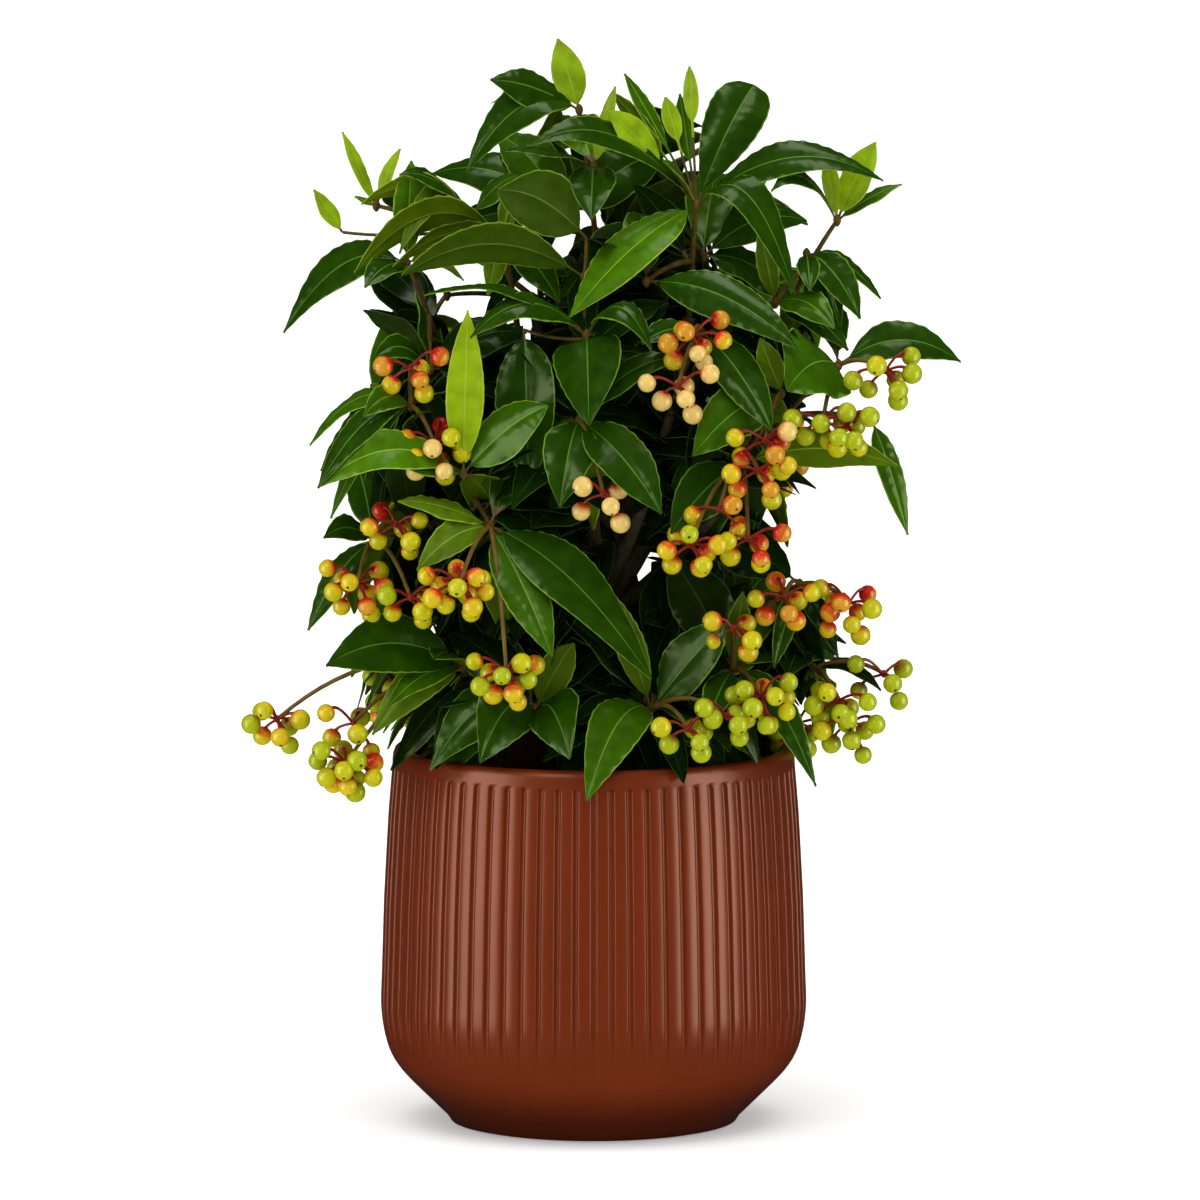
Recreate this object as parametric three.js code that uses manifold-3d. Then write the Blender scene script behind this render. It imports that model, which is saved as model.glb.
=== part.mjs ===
// A potted coral berry: a ribbed pot, its potting mix, a trunk, boughs, and masses of leaves with fruit.
// Millimetres. +Z is up, +X is to the right and -Y is the front. The origin is the centre of the
// pot's flat underside.

import * as THREE from 'three';
import { mergeVertices } from 'three/addons/utils/BufferGeometryUtils.js';
import Module from 'manifold-3d';

const wasm = await Module();
wasm.setup();
const { Manifold, Mesh } = wasm;

const UP = new THREE.Vector3(0, 0, 1);
const FRONT = new THREE.Vector3(0, -1, 0);
const GOLDEN_ANGLE = THREE.MathUtils.degToRad(137.508);
const SEED = 41;

// The clearance between pieces that touch. Limbs and the pot's wall are many-sided, so theirs is
// wider at the corners.
const GAP = 0.35;
const LIMB_GAP = 1.3 * GAP;
const WALL_GAP = 1.4 * GAP;

// The pot: radius and height of its outside from foot to rim, and of its inside from rim to floor
const POT_OUTSIDE = [
  [57, 0], [62, 3.3], [80.5, 21.5], [86.4, 32], [90, 50], [84.6, 153], [83.8, 158], [81.5, 159.6],
];
const POT_INSIDE = [[79, 159.6], [78.6, 150], [84, 52], [76, 26], [55, 8]];
const POT_MOUTH_SIDES = 36;
const GROOVES = 72;
const GROOVE = { foot: 34, belly: 50, top: 152, halfWidth: 1.2, depth: 1.1, taper: 5, lift: 0.05 };

const SOIL_LEVEL = 140;
const TRUNK = {
  foot: [0, 5, SOIL_LEVEL + GAP], tip: [3, 5, 238], lean: -5,
  flare: 14, flareShare: 0.12, base: 8, end: 5.2,
};

// Boughs: name, where each leaves the trunk as a share of its height, tip, and the radius at both ends
const BOUGHS = [
  ['bough_top', 1, [3, 10, 352], 4.8, 2.7],
  ['bough_upper_right', 0.94, [40, 2, 340], 4.4, 2.8],
  ['bough_upper_left', 0.9, [-32, 2, 336], 4.2, 2.5],
  ['bough_right_shoulder', 0.84, [76, 8, 330], 4, 2.3],
  ['bough_left_shoulder', 0.8, [-62, 2, 318], 4, 2.3],
  ['bough_front', 0.86, [-2, -32, 292], 4, 2.3],
  ['bough_left', 0.64, [-50, -20, 256], 4, 2.3],
  ['bough_right', 0.7, [62, -18, 276], 4, 2.3],
  ['bough_inner_right', 0.78, [32, -24, 302], 3.6, 2.2],
  ['bough_low_right', 0.46, [56, -24, 212], 3.6, 2.2],
  ['bough_low_front', 0.3, [16, -30, 182], 3.6, 2.2],
  ['bough_low_left', 0.34, [-28, -26, 184], 3.6, 2.2],
];

// Foliage at the front and top: each mass has shoots, and each shoot has the place of its whorl, the
// number of leaves that the rule adds behind it, and its aimed leaves and bunches of fruit.
// A leaf is its tip's way from the whorl in x, y and z, how far its middle rises, how many degrees
// its upper face turns to the front, and its width. A bunch is its hub in x, y and z and its count.
const FRONT_MASSES = [
  { name: 'foliage_top', bough: 'bough_top', shoots: [
    { at: [-6, 4, 427], added: 8, leaves: [
      [-6, 0, 33, 0, 60, 13], [-36, -14, 16, 9, 35, 17], [-47, -22, -24, 20, 30, 18],
      [-37, 14, 2, 6, 20, 12],
    ], bunches: [] },
    { at: [0, -8, 404], added: 8, leaves: [
      [-1, -42, -18, 6, 0, 20], [-37, -25, 9, 4, 5, 18], [9, -2, 34, 0, 60, 9],
    ], bunches: [] },
    { at: [-10, 16, 380], added: 4, leaves: [
      [-58, 16, 18, 10, 40, 24], [-66, 10, -16, 10, 30, 25], [-30, 20, 34, 6, 50, 22],
      [40, 22, 26, 6, 45, 24], [-36, 8, -42, 8, 40, 24],
    ], bunches: [] },
  ] },
  { name: 'foliage_upper_right', bough: 'bough_upper_right', shoots: [
    { at: [43, -8, 388], added: 8, leaves: [
      [-69, -34, 28, 17, 40, 19], [78, -6, 11, 15, 15, 20], [41, -25, -35, 24, 30, 19],
      [-53, -40, -43, 6, 30, 23], [24, 8, 50, 4, 65, 25], [-3, 4, 60, 0, 50, 9], [-37, -14, 41, 2, 60, 17],
      [-35, -20, 47, 3, -60, 13], [-30, 4, 55, 2, 60, 8], [-7, 10, 46, 0, 60, 12],
    ], bunches: [] },
    { at: [22, -28, 358], added: 8, leaves: [[62, -34, -24, 8, 45, 22]], bunches: [] },
    { at: [46, 16, 364], added: 4, leaves: [
      [44, 16, 14, 8, 40, 22], [40, 8, -22, 8, 40, 22], [6, 12, 38, 4, 50, 22], [-8, 4, -52, 6, 45, 22],
    ], bunches: [] },
  ] },
  { name: 'foliage_right_shoulder', bough: 'bough_right_shoulder', shoots: [
    { at: [102, 0, 381], added: 8, leaves: [
      [-28, -20, 11, 12, -35, 18], [16, 0, 33, 2, 60, 15], [27, 4, 15, 2, 30, 9], [-5, 6, 30, 0, 60, 8],
    ], bunches: [] },
    { at: [89, -12, 368], added: 8, leaves: [
      [22, -22, -25, 6, 30, 16], [31, -8, -18, 6, 20, 13], [1, -25, -13, 3, 0, 10],
    ], bunches: [] },
    { at: [76, -16, 348], added: 8, leaves: [
      [24, -28, -8, 6, 30, 16], [30, -20, -18, 5, 30, 15], [-7, -6, 32, 0, 60, 9],
    ], bunches: [] },
  ] },
  { name: 'foliage_upper_left', bough: 'bough_upper_left', shoots: [
    { at: [-38, -12, 376], added: 8, leaves: [
      [-62, -12, -15, 22, -25, 15], [6, -6, 25, 0, 60, 9],
    ], bunches: [] },
    { at: [-51, -4, 384], added: 8, leaves: [
      [-46, -8, 5, 14, -20, 14], [-30, -14, 18, 6, 30, 14], [-30, -18, -15, 16, -30, 10],
    ], bunches: [] },
    { at: [-91, 2, 387], added: 8, leaves: [
      [-14, 0, 31, 0, 50, 7], [10, 0, 24, 2, 50, 7], [-18, 0, 6, 0, 50, 7],
    ], bunches: [] },
  ] },
  { name: 'foliage_left_shoulder', bough: 'bough_left_shoulder', shoots: [
    { at: [-78, -12, 364], added: 8, leaves: [
      [-52, 10, -30, 22, 25, 17], [-17, -30, -7, 4, 20, 14],
    ], bunches: [] },
    { at: [-68, -34, 322], added: 8, leaves: [
      [-6, -6, 33, 2, 60, 19], [-24, -20, 5, 8, 30, 12], [42, 16, -20, 6, 40, 24], [40, 14, 14, 6, 40, 22],
    ], bunches: [] },
  ] },
  { name: 'foliage_front', bough: 'bough_front', shoots: [
    { at: [-3, -52, 338], added: 8, leaves: [
      [-1, -34, -42, 8, 20, 28], [27, -22, -14, 15, 20, 14], [-67, -14, 12, 10, 10, 15],
      [-50, -26, -14, 8, 30, 15], [-23, -48, -72, 4, 35, 26],
    ], bunches: [] },
    { at: [-4, -30, 360], added: 8, leaves: [
      [-76, -16, 2, 5, -35, 18], [-38, -18, 33, 5, -55, 21],
    ], bunches: [] },
  ] },
  { name: 'foliage_middle', bough: 'bough_front', shoots: [
    { at: [-6, -66, 294], added: 8, leaves: [
      [-8, -20, -36, 6, 20, 21], [34, -26, -37, 5, 35, 20],
    ], bunches: [[4, -82, 266, 6]] },
  ] },
  { name: 'foliage_left', bough: 'bough_left_shoulder', shoots: [
    { at: [-76, -46, 308], added: 8, leaves: [
      [-42, -6, -16, 12, 20, 14], [-37, -22, -25, 10, 25, 14], [-38, -32, -31, 10, 25, 14],
      [-19, -24, -2, 6, 20, 12], [-33, -20, -45, 10, 25, 11],
    ], bunches: [[-76, -60, 325, 6], [-66, -70, 293, 12]] },
  ] },
  { name: 'foliage_left_middle', bough: 'bough_left', shoots: [
    { at: [-54, -60, 272], added: 8, leaves: [
      [3, -10, 71, 0, 60, 14], [-60, -16, -6, 20, 15, 15], [33, 0, 29, 3, 60, 18], [-29, -10, 6, 0, 50, 9],
    ], bunches: [] },
    { at: [-41, -60, 243], added: 8, leaves: [
      [-39, -12, 16, 3, 40, 11], [-30, -20, -16, 5, -20, 14], [55, -28, -32, 6, 40, 24],
      [25, -28, -47, 4, 35, 19],
    ], bunches: [[-52, -82, 236, 12], [-36, -84, 200, 11]] },
  ] },
  { name: 'foliage_left_low', bough: 'bough_left', shoots: [
    { at: [-92, -34, 250], added: 8, leaves: [
      [-27, -14, -36, 6, 35, 14], [-20, -24, 4, 5, 30, 12],
    ], bunches: [[-98, -56, 235, 10], [-76, -66, 230, 6], [-82, -60, 260, 7]] },
  ] },
  { name: 'foliage_right', bough: 'bough_right', shoots: [
    { at: [102, -38, 324], added: 8, leaves: [
      [-21, -34, -19, 6, 30, 26], [51, 4, 1, 13, 15, 17],
    ], bunches: [[116, -50, 321, 9], [95, -62, 303, 6]] },
    { at: [116, -30, 300], added: 8, leaves: [[15, -10, -47, 4, 40, 11]], bunches: [[105, -60, 301, 6]] },
  ] },
  { name: 'foliage_right_middle', bough: 'bough_right', shoots: [
    { at: [78, -46, 313], added: 8, leaves: [
      [-9, -8, 24, 0, 60, 11], [-36, -28, -32, 6, 40, 18],
    ], bunches: [[71, -70, 296, 6]] },
    { at: [66, -46, 276], added: 8, leaves: [
      [60, -10, 0, 7, -35, 16], [-32, -30, -30, 4, 40, 17], [-40, 16, -34, 6, 40, 24],
    ], bunches: [[56, -74, 273, 4], [72, -74, 271, 5], [51, -82, 254, 8], [66, -78, 247, 6]] },
  ] },
  { name: 'foliage_inner_right', bough: 'bough_inner_right', shoots: [
    { at: [45, -42, 338], added: 8, leaves: [
      [29, -30, -38, 5, 40, 19], [-25, -25, -2, 4, 30, 14], [-6, 10, -60, 4, 45, 26],
    ], bunches: [[41, -66, 333, 9], [27, -72, 314, 6]] },
  ] },
  { name: 'foliage_low_right', bough: 'bough_low_right', shoots: [
    { at: [86, -38, 232], added: 8, leaves: [
      [-11, -24, -32, 3, 40, 10], [40, -6, 8, 10, 25, 16], [-44, 16, 16, 6, 40, 26],
    ], bunches: [[79, -64, 230, 7], [106, -52, 226, 10]] },
    { at: [92, -34, 196], added: 8, leaves: [
      [38, -14, 2, 8, 25, 15],
    ], bunches: [[121, -42, 195, 5], [101, -60, 186, 8], [106, -56, 176, 8]] },
  ] },
  { name: 'foliage_low_front', bough: 'bough_low_front', shoots: [
    { at: [24, -56, 182], added: 8, leaves: [
      [-27, -40, -44, 14, 30, 22], [31, -16, 38, 2, 55, 24], [-19, -10, 52, 3, 50, 13],
    ], bunches: [[39, -88, 178, 6]] },
    { at: [58, -54, 198], added: 8, leaves: [
      [34, -34, -54, 12, 30, 11], [-11, -34, -18, 3, 20, 14], [4, -8, 34, 0, 55, 11],
      [-26, 12, 46, 4, 50, 26],
    ], bunches: [[69, -78, 190, 14], [58, -74, 218, 5]] },
  ] },
  { name: 'foliage_low_left', bough: 'bough_low_left', shoots: [
    { at: [-24, -56, 182], added: 8, leaves: [
      [-44, -12, -26, 14, 35, 18], [-23, -34, -24, 12, 30, 25], [14, -38, -28, 12, 20, 20],
      [16, -10, 29, 2, 50, 15], [-36, 14, 30, 6, 40, 24],
    ], bunches: [] },
    { at: [-54, -46, 198], added: 8, leaves: [
      [-57, -24, -5, 8, 40, 21], [-12, -34, 8, 5, 20, 16], [-32, -24, -14, 6, 30, 13],
      [-38, -16, -26, 8, -25, 17],
    ], bunches: [[-100, -54, 176, 5], [-103, -62, 160, 13], [-132, -42, 176, 8]] },
  ] },
];

// Foliage round the sides and back: name, the azimuth of its bough from +X towards the back, the
// height of the bough's tip, its distance from the axis, and the number of fruit in each bunch
const BACK_MASSES = [
  ['back_low_right', 22, 206, 42, 9],
  ['back_low', 88, 208, 44, 10],
  ['back_low_left', 156, 204, 42, 10],
  ['right_side', 4, 296, 46, 9],
  ['back_right', 50, 284, 54, 10],
  ['back_left', 120, 280, 54, 10],
  ['left_side', 172, 280, 50, 9],
  ['back_upper_right', 46, 342, 42, 6],
  ['back_upper_left', 128, 346, 42, 6],
  ['back_top', 86, 372, 24, 0],
];
// The shoots of each of them: degrees round from the bough, further out, and further up
const BACK_SHOOTS = [[-22, 32, -16], [3, 42, 14], [24, 28, 0], [-10, 14, 36]];
const BACK_LEAVES = 8;
const BACK_BOUGH = { base: 3.8, end: 2.2 };
// Where its bunches hang: further out, as a share, and below the shoot
const BACK_HUB = { out: 1.16, drop: 22 };
// The share of the trunk that it leaves at, from the height of its tip
const BACK_FORK = { reach: 220, lowest: 0.3, highest: 0.98 };

// What a leaf that the rule adds keeps to: the crown's half width at each height, its depth as a share
// of that, how steeply its shoots fan out, and clear lines of sight from the front, each given in x
// and z with its radius
const CROWN = {
  centre: [0, 4, 285],
  halfWidths: [
    [138, 60], [150, 98], [200, 112], [240, 84], [282, 104], [326, 92], [362, 104], [404, 88], [448, 20],
  ],
  depth: 1.12,
  fan: 0.7,
  lift: 30,
};
const SKY = [
  [-59, 362, 8], [-46, 358, 8], [-35, 360, 6], [-14, 375, 8], [-5, 384, 6], [-61, 342, 5], [-28, 343, 7],
  [57, 368, 7], [67, 367, 6], [12, 262, 5], [17, 232, 6], [73, 235, 5], [-23, 176, 5],
];
const ADDED_LEAF = {
  shortest: 46, longest: 66, width: 0.36, rise: 0.14,
  opens: 52, opensMore: 36, jitter: 0.7, droop: 0.12, tilt: 24, backward: 0.2,
};

// How far a bough's middle goes out and sags, as shares of its spread
const BOUGH_BOW = { out: 0.16, sag: 0.04 };
// How squarely a knot's face looks along a limb that roots there, and the volume of a crossing
const ROOT = { facing: 0.6, square: 8, crossing: 1e-4 };
// Where the twigs of a mass leave its stem, and how far they bow, as shares of their length
const TWIG = { base: 1.7, end: 1.3, knot: 2.1, fork: 0.7, forkStep: 0.14, bow: 0.06 };
const LEAF = { thick: 1, thickShare: 1 / 55 };
// Only some of a bunch's fruit are built here: each `every`th
const FRUIT = {
  radius: 4.4, stalk: 0.6, shortest: 10, longest: 15, spread: 1.5, jitter: 0.5,
  bunchStalk: 0.8, bunchBow: 0.14, hub: 1.5, every: 3,
};

const vector = (place) => new THREE.Vector3(...place);

// A small seeded generator, so that the plant grows the same way each time
function seeded(seed) {
  let state = seed >>> 0;
  return () => {
    state = (state + 0x6d2b79f5) >>> 0;
    let mixed = Math.imul(state ^ (state >>> 15), state | 1);
    mixed ^= mixed + Math.imul(mixed ^ (mixed >>> 7), mixed | 61);
    return ((mixed ^ (mixed >>> 14)) >>> 0) / 4294967296;
  };
}

// A closed solid from vertices and triangles, turned right side out
function solidOf(points, faces) {
  let volume = 0;
  for (const [a, b, c] of faces) {
    volume += points[a].dot(new THREE.Vector3().crossVectors(points[b], points[c]));
  }
  const outward = volume < 0 ? faces.map(([a, b, c]) => [a, c, b]) : faces;
  return new Manifold(new Mesh({
    numProp: 3,
    vertProperties: new Float32Array(points.flatMap((p) => [p.x, p.y, p.z])),
    triVerts: new Uint32Array(outward.flat()),
  }));
}

// A solid stretched over rings of points, in which a ring may be a single point
function skin(rings) {
  const faces = [];
  let start = 0;
  for (let i = 0; i + 1 < rings.length; i += 1) {
    const here = rings[i].length;
    const next = rings[i + 1].length;
    for (let k = 0; k < Math.max(here, next); k += 1) {
      const a = start + (k % here);
      const b = start + ((k + 1) % here);
      const c = start + here + ((k + 1) % next);
      const d = start + here + (k % next);
      if (a !== b) faces.push([a, b, d]);
      if (c !== d) faces.push([b, c, d]);
    }
    start += here;
  }
  for (let k = 1; k + 1 < rings[0].length; k += 1) faces.push([0, k + 1, k]);
  for (let k = 1; k + 1 < rings.at(-1).length; k += 1) faces.push([start, start + k, start + k + 1]);
  return solidOf(rings.flat(), faces);
}

function middleOf(points) {
  return points.reduce((sum, point) => sum.add(point), new THREE.Vector3()).divideScalar(points.length);
}

function normalOf([a, b, c]) {
  return new THREE.Vector3().crossVectors(b.clone().sub(a), c.clone().sub(a)).normalize();
}

// A solid that sprouts from a small knot. Each limb takes one face of the knot as its root, so it is
// one with the knot from the start, and it crosses neither itself, the knot nor an earlier limb.
class Sprout {
  constructor(centre, geometry) {
    geometry.deleteAttribute('normal');
    geometry.deleteAttribute('uv');
    const knot = mergeVertices(geometry);
    const { position } = knot.attributes;
    this.points = Array.from({ length: position.count }, (_, i) => (
      new THREE.Vector3().fromBufferAttribute(position, i).add(centre)));
    this.free = Array.from({ length: knot.index.count / 3 }, (_, i) => (
      [0, 1, 2].map((corner) => knot.index.getX(3 * i + corner))));
    this.faces = [];
    this.limbs = [this.solid()];
  }

  // Rings of points, in one of several forms, grow out of a free face that looks along the way and
  // turns them little. Returns whether they could.
  grow(way, ...forms) {
    const facing = (face) => normalOf(face.map((i) => this.points[i])).dot(way);
    const roots = this.free.filter((face) => facing(face) > ROOT.facing).flatMap((face) => (
      forms.map((rings) => ({
        face, rings, cost: this.match(face, rings[0]).slip - ROOT.square * facing(face),
      }))));
    roots.sort((a, b) => a.cost - b.cost);
    return roots.some(({ face, rings }) => this.takes(face, rings));
  }

  takes(root, rings) {
    const [faceCount, pointCount] = [this.faces.length, this.points.length];
    const end = rings.reduce((here, next) => this.join(here, next), root);
    for (let k = 1; k + 1 < end.length; k += 1) this.faces.push([end[0], end[k], end[k + 1]]);
    const sides = this.faces.slice(faceCount);
    const limb = solidOf(this.points, [root.toReversed(), ...sides]);
    const crosses = this.crossesItself([root, ...sides])
      || this.limbs.some((other) => limb.intersect(other).volume() > ROOT.crossing);
    if (crosses) {
      this.faces.length = faceCount;
      this.points.length = pointCount;
      return false;
    }
    this.limbs.push(limb);
    this.free = this.free.filter((face) => face !== root);
    return true;
  }

  // Whether an edge of one of these faces runs through another that it doesn't touch
  crossesItself(faces) {
    const hit = new THREE.Vector3();
    return faces.some((face) => faces.some((other) => [0, 1, 2].some((corner) => {
      const ends = [face[corner], face[(corner + 1) % 3]];
      if (ends.some((end) => other.includes(end))) return false;
      const [from, to] = ends.map((end) => this.points[end]);
      const ray = new THREE.Ray(from, to.clone().sub(from).normalize());
      const found = ray.intersectTriangle(...other.map((i) => this.points[i]), false, hit);
      return found !== null && hit.distanceTo(from) < to.distanceTo(from);
    })));
  }

  // How the next ring is turned so that it lies most nearly as this one does
  match(here, next) {
    if (next.length === 1) return { ring: next, shift: 0, slip: 0 };
    const from = middleOf(here.map((i) => this.points[i]));
    const to = middleOf(next);
    const ring = normalOf(next).dot(to.clone().sub(from)) < 0 ? next.toReversed() : next;
    const step = ring.length / here.length;
    const turns = ring.map((_, shift) => {
      const slip = here.reduce((sum, i, k) => {
        const partner = ring[(k * step + shift) % ring.length].clone().sub(to);
        return sum + this.points[i].clone().sub(from).distanceTo(partner);
      }, 0);
      return { ring, shift, slip };
    });
    return turns.reduce((a, b) => (b.slip < a.slip ? b : a));
  }

  // The next ring has as many points as this one, twice as many, or a single one
  join(here, next) {
    const { ring, shift } = this.match(here, next);
    const count = ring.length;
    const step = count / here.length;
    const first = this.points.length;
    this.points.push(...ring);
    const there = ring.map((_, k) => first + ((k + shift) % count));
    here.forEach((a, k) => {
      const b = here[(k + 1) % here.length];
      const run = count === 1 ? [there[0]]
        : Array.from({ length: step + 1 }, (_, i) => there[(k * step + i) % count]);
      const turn = Math.floor(run.length / 2);
      for (let i = 0; i < turn; i += 1) this.faces.push([a, run[i + 1], run[i]]);
      this.faces.push([a, b, run[turn]]);
      for (let i = turn; i + 1 < run.length; i += 1) this.faces.push([b, run[i + 1], run[i]]);
    });
    return there;
  }

  solid() {
    return solidOf(this.points, [...this.free, ...this.faces]);
  }
}

function ring(centre, across, along, radius, sides) {
  return Array.from({ length: sides }, (_, k) => {
    const angle = (2 * Math.PI * k) / sides;
    return centre.clone()
      .addScaledVector(across, radius * Math.cos(angle))
      .addScaledVector(along, radius * Math.sin(angle));
  });
}

// The rings of a tapering limb along a curve
function ringsAlong(curve, radiusAt, sides, steps) {
  const frames = curve.computeFrenetFrames(steps, false);
  return frames.tangents.map((_, i) => {
    const share = i / steps;
    return ring(curve.getPointAt(share), frames.normals[i], frames.binormals[i], radiusAt(share), sides);
  });
}

const tube = (curve, radiusAt, sides, steps) => skin(ringsAlong(curve, radiusAt, sides, steps));

// A curve from one point to another whose middle rises
function bow(from, to, rise) {
  const middle = from.clone().lerp(to, 0.5).addScaledVector(UP, 2 * rise);
  return new THREE.QuadraticBezierCurve3(from, middle, to);
}

// Pieces already in place, which others keep clear of unless they belong to the same mass
const placed = [];

function boxesMeet(a, b) {
  return [0, 1, 2].every((axis) => a.min[axis] < b.max[axis] && b.min[axis] < a.max[axis]);
}

function neighbours(solid, mass) {
  const box = solid.boundingBox();
  return placed.filter((piece) => piece.mass !== mass && boxesMeet(box, piece.box));
}

const meets = (solid, pieces) => pieces.some((piece) => !solid.intersect(piece.solid).isEmpty());
const isClear = (grown, mass) => !meets(grown, neighbours(grown, mass));

// Whether a solid crosses its own mass
function crossesOwn(solid, mass) {
  const box = solid.boundingBox();
  return meets(solid, placed.filter((piece) => piece.mass === mass && boxesMeet(box, piece.box)));
}

function place(solid, grown, mass) {
  placed.push({ solid, grown, mass, box: grown.boundingBox() });
  return solid;
}

function largestPart(solid) {
  const parts = solid.decompose();
  parts.sort((a, b) => b.volume() - a.volume());
  return parts[0];
}

// A limb is trimmed where it meets the ones before it, and a gap stays between them
function growLimb(curve, radiusAt, sides, steps, mass) {
  const whole = tube(curve, radiusAt, sides, steps);
  const before = neighbours(whole, mass).map((piece) => piece.grown);
  const trimmed = before.length ? largestPart(whole.subtract(Manifold.union(before))) : whole;
  const grown = tube(curve, (share) => radiusAt(share) + LIMB_GAP, sides, steps);
  return place(trimmed, grown, mass);
}

// A solid turned about the pot's axis
function turned(profile, sides) {
  const [across, along] = [new THREE.Vector3(1, 0, 0), new THREE.Vector3(0, 1, 0)];
  return skin(profile.map(([radius, height]) => {
    const centre = new THREE.Vector3(0, 0, height);
    return radius === 0 ? [centre] : ring(centre, across, along, radius, sides);
  }));
}

// The value between two rows of a table of [place, value]
function alongTable(table, place) {
  const next = Math.max(1, table.findIndex(([start]) => start > place));
  const [start, value] = table[next - 1];
  const [end, last] = table[next];
  return THREE.MathUtils.mapLinear(place, start, end, value, last);
}

const radiusAtHeight = (profile, height) => alongTable(profile.map(([radius, z]) => [z, radius]), height);

function grooveCutter(angle) {
  const out = new THREE.Vector3(Math.cos(angle), Math.sin(angle), 0);
  const side = new THREE.Vector3(-out.y, out.x, 0);
  const heights = [GROOVE.belly, GROOVE.top - GROOVE.taper];
  const pointAt = (height, sink) => {
    const radius = radiusAtHeight(POT_OUTSIDE, height) - sink;
    return out.clone().multiplyScalar(radius).setZ(height);
  };
  const beyond = GROOVE.depth;
  const spread = (GROOVE.halfWidth * (GROOVE.depth + beyond)) / GROOVE.depth;
  const rings = heights.map((height) => [
    pointAt(height, GROOVE.depth),
    pointAt(height, -beyond).addScaledVector(side, spread),
    pointAt(height, -beyond).addScaledVector(side, -spread),
  ]);
  return skin([[pointAt(GROOVE.foot, -GROOVE.lift)], ...rings, [pointAt(GROOVE.top, -GROOVE.lift)]]);
}

function makePot() {
  const rim = POT_OUTSIDE.at(-1)[1];
  const blank = turned([[0, 0], ...POT_OUTSIDE, [0, rim]], GROOVES);
  const brim = [POT_INSIDE[0][0], rim + 1];
  const mouth = [[0, rim + 1], brim, ...POT_INSIDE.slice(1), [0, POT_INSIDE.at(-1)[1]]];
  const cutters = Array.from({ length: GROOVES }, (_, k) => grooveCutter((2 * Math.PI * k) / GROOVES));
  return blank.subtract(Manifold.union([turned(mouth, POT_MOUTH_SIDES), ...cutters]));
}

// The pot as a filled block with the clearance round it, which the leaves keep out of
function potGuard() {
  const wall = POT_OUTSIDE.map(([radius, z]) => [radius + GAP, z + GAP]);
  return turned([[0, 0], ...wall, [0, wall.at(-1)[1]]], POT_MOUTH_SIDES);
}

function makeSoil() {
  const below = POT_INSIDE.filter(([, z]) => z < SOIL_LEVEL);
  const wall = below.map(([radius, z]) => [radius - WALL_GAP, z + GAP]);
  const brim = radiusAtHeight([...POT_INSIDE].reverse(), SOIL_LEVEL) - WALL_GAP;
  return turned([[0, SOIL_LEVEL], [brim, SOIL_LEVEL], ...wall, [0, wall.at(-1)[1]]], POT_MOUTH_SIDES);
}

function makeTrunk() {
  const curve = bow(vector(TRUNK.foot), vector(TRUNK.tip), 0);
  curve.v1.x += TRUNK.lean;
  const radiusAt = (share) => {
    const flared = (TRUNK.flare - TRUNK.base) * Math.max(0, 1 - share / TRUNK.flareShare) ** 2;
    return flared + THREE.MathUtils.lerp(TRUNK.base, TRUNK.end, share);
  };
  const trunk = growLimb(curve, radiusAt, 9, 12, 'trunk');
  return { curve, solid: trunk.trimByPlane([0, 0, 1], TRUNK.foot[2]) };
}

function makeBough(trunkCurve, name, share, tip, base, end) {
  const from = trunkCurve.getPointAt(share);
  const to = vector(tip);
  const out = new THREE.Vector3(to.x - from.x, to.y - from.y, 0);
  const middle = from.clone().lerp(to, 0.5)
    .addScaledVector(out, BOUGH_BOW.out)
    .addScaledVector(UP, -BOUGH_BOW.sag * out.length());
  const curve = new THREE.QuadraticBezierCurve3(from, middle, to);
  return growLimb(curve, (t) => THREE.MathUtils.lerp(base, end, t), 5, 3, name);
}

// The blade's upper face: level, then turned about the leaf's length towards the front
function faceOf(way, turn) {
  const side = new THREE.Vector3().crossVectors(way, UP);
  if (side.lengthSq() < 1e-4) side.set(1, 0, 0);
  side.normalize();
  const level = new THREE.Vector3().crossVectors(side, way);
  const angle = THREE.MathUtils.degToRad(turn) * (side.dot(FRONT) < 0 ? -1 : 1);
  return level.multiplyScalar(Math.cos(angle)).addScaledVector(side, Math.sin(angle)).normalize();
}

// Half the blade's width, as a share of its widest, at each share of its length
const AIMED_BLADE = [[0.4, 0.96], [0.72, 0.78]];
const ADDED_BLADE = [[0.5, 0.96]];
// Where the stretch of a leaf begins that has to be clear of its mass's other leaves
const CLEAR_OF_KNOT = [0.1, 0.12];

// The leaf's rings are triangles with a keel on one side, 1 for above or -1 for below. They are
// four-sided where they are grown by a clearance.
function leafRings(base, leaf, blade, extra, keelSide = -1) {
  const [x, y, z, rise, turn, width] = leaf;
  const tip = base.clone().add(new THREE.Vector3(x, y, z));
  const curve = bow(base, tip, rise);
  const way = tip.clone().sub(base).normalize();
  const side = new THREE.Vector3().crossVectors(way, faceOf(way, turn)).normalize();
  const thick = Math.max(LEAF.thick, curve.getLength() * LEAF.thickShare);
  const rings = blade.map(([share, spread]) => {
    const half = spread * width * 0.5 + extra;
    const centre = curve.getPoint(share);
    const over = new THREE.Vector3().crossVectors(side, curve.getTangent(share)).normalize();
    const [right, left] = [half, -half].map((reach) => centre.clone().addScaledVector(side, reach));
    const keels = [1, -1].map((up) => centre.clone().addScaledVector(over, up * (thick + extra)));
    return extra > 0 ? [right, keels[0], left, keels[1]] : [right, left, keels[keelSide > 0 ? 0 : 1]];
  });
  return [...rings, [tip.addScaledVector(curve.getTangent(1), extra)]];
}

function outerLeaf(base, leaf, blade, extra) {
  return skin(leafRings(base, leaf, [CLEAR_OF_KNOT, ...blade], extra));
}

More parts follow.
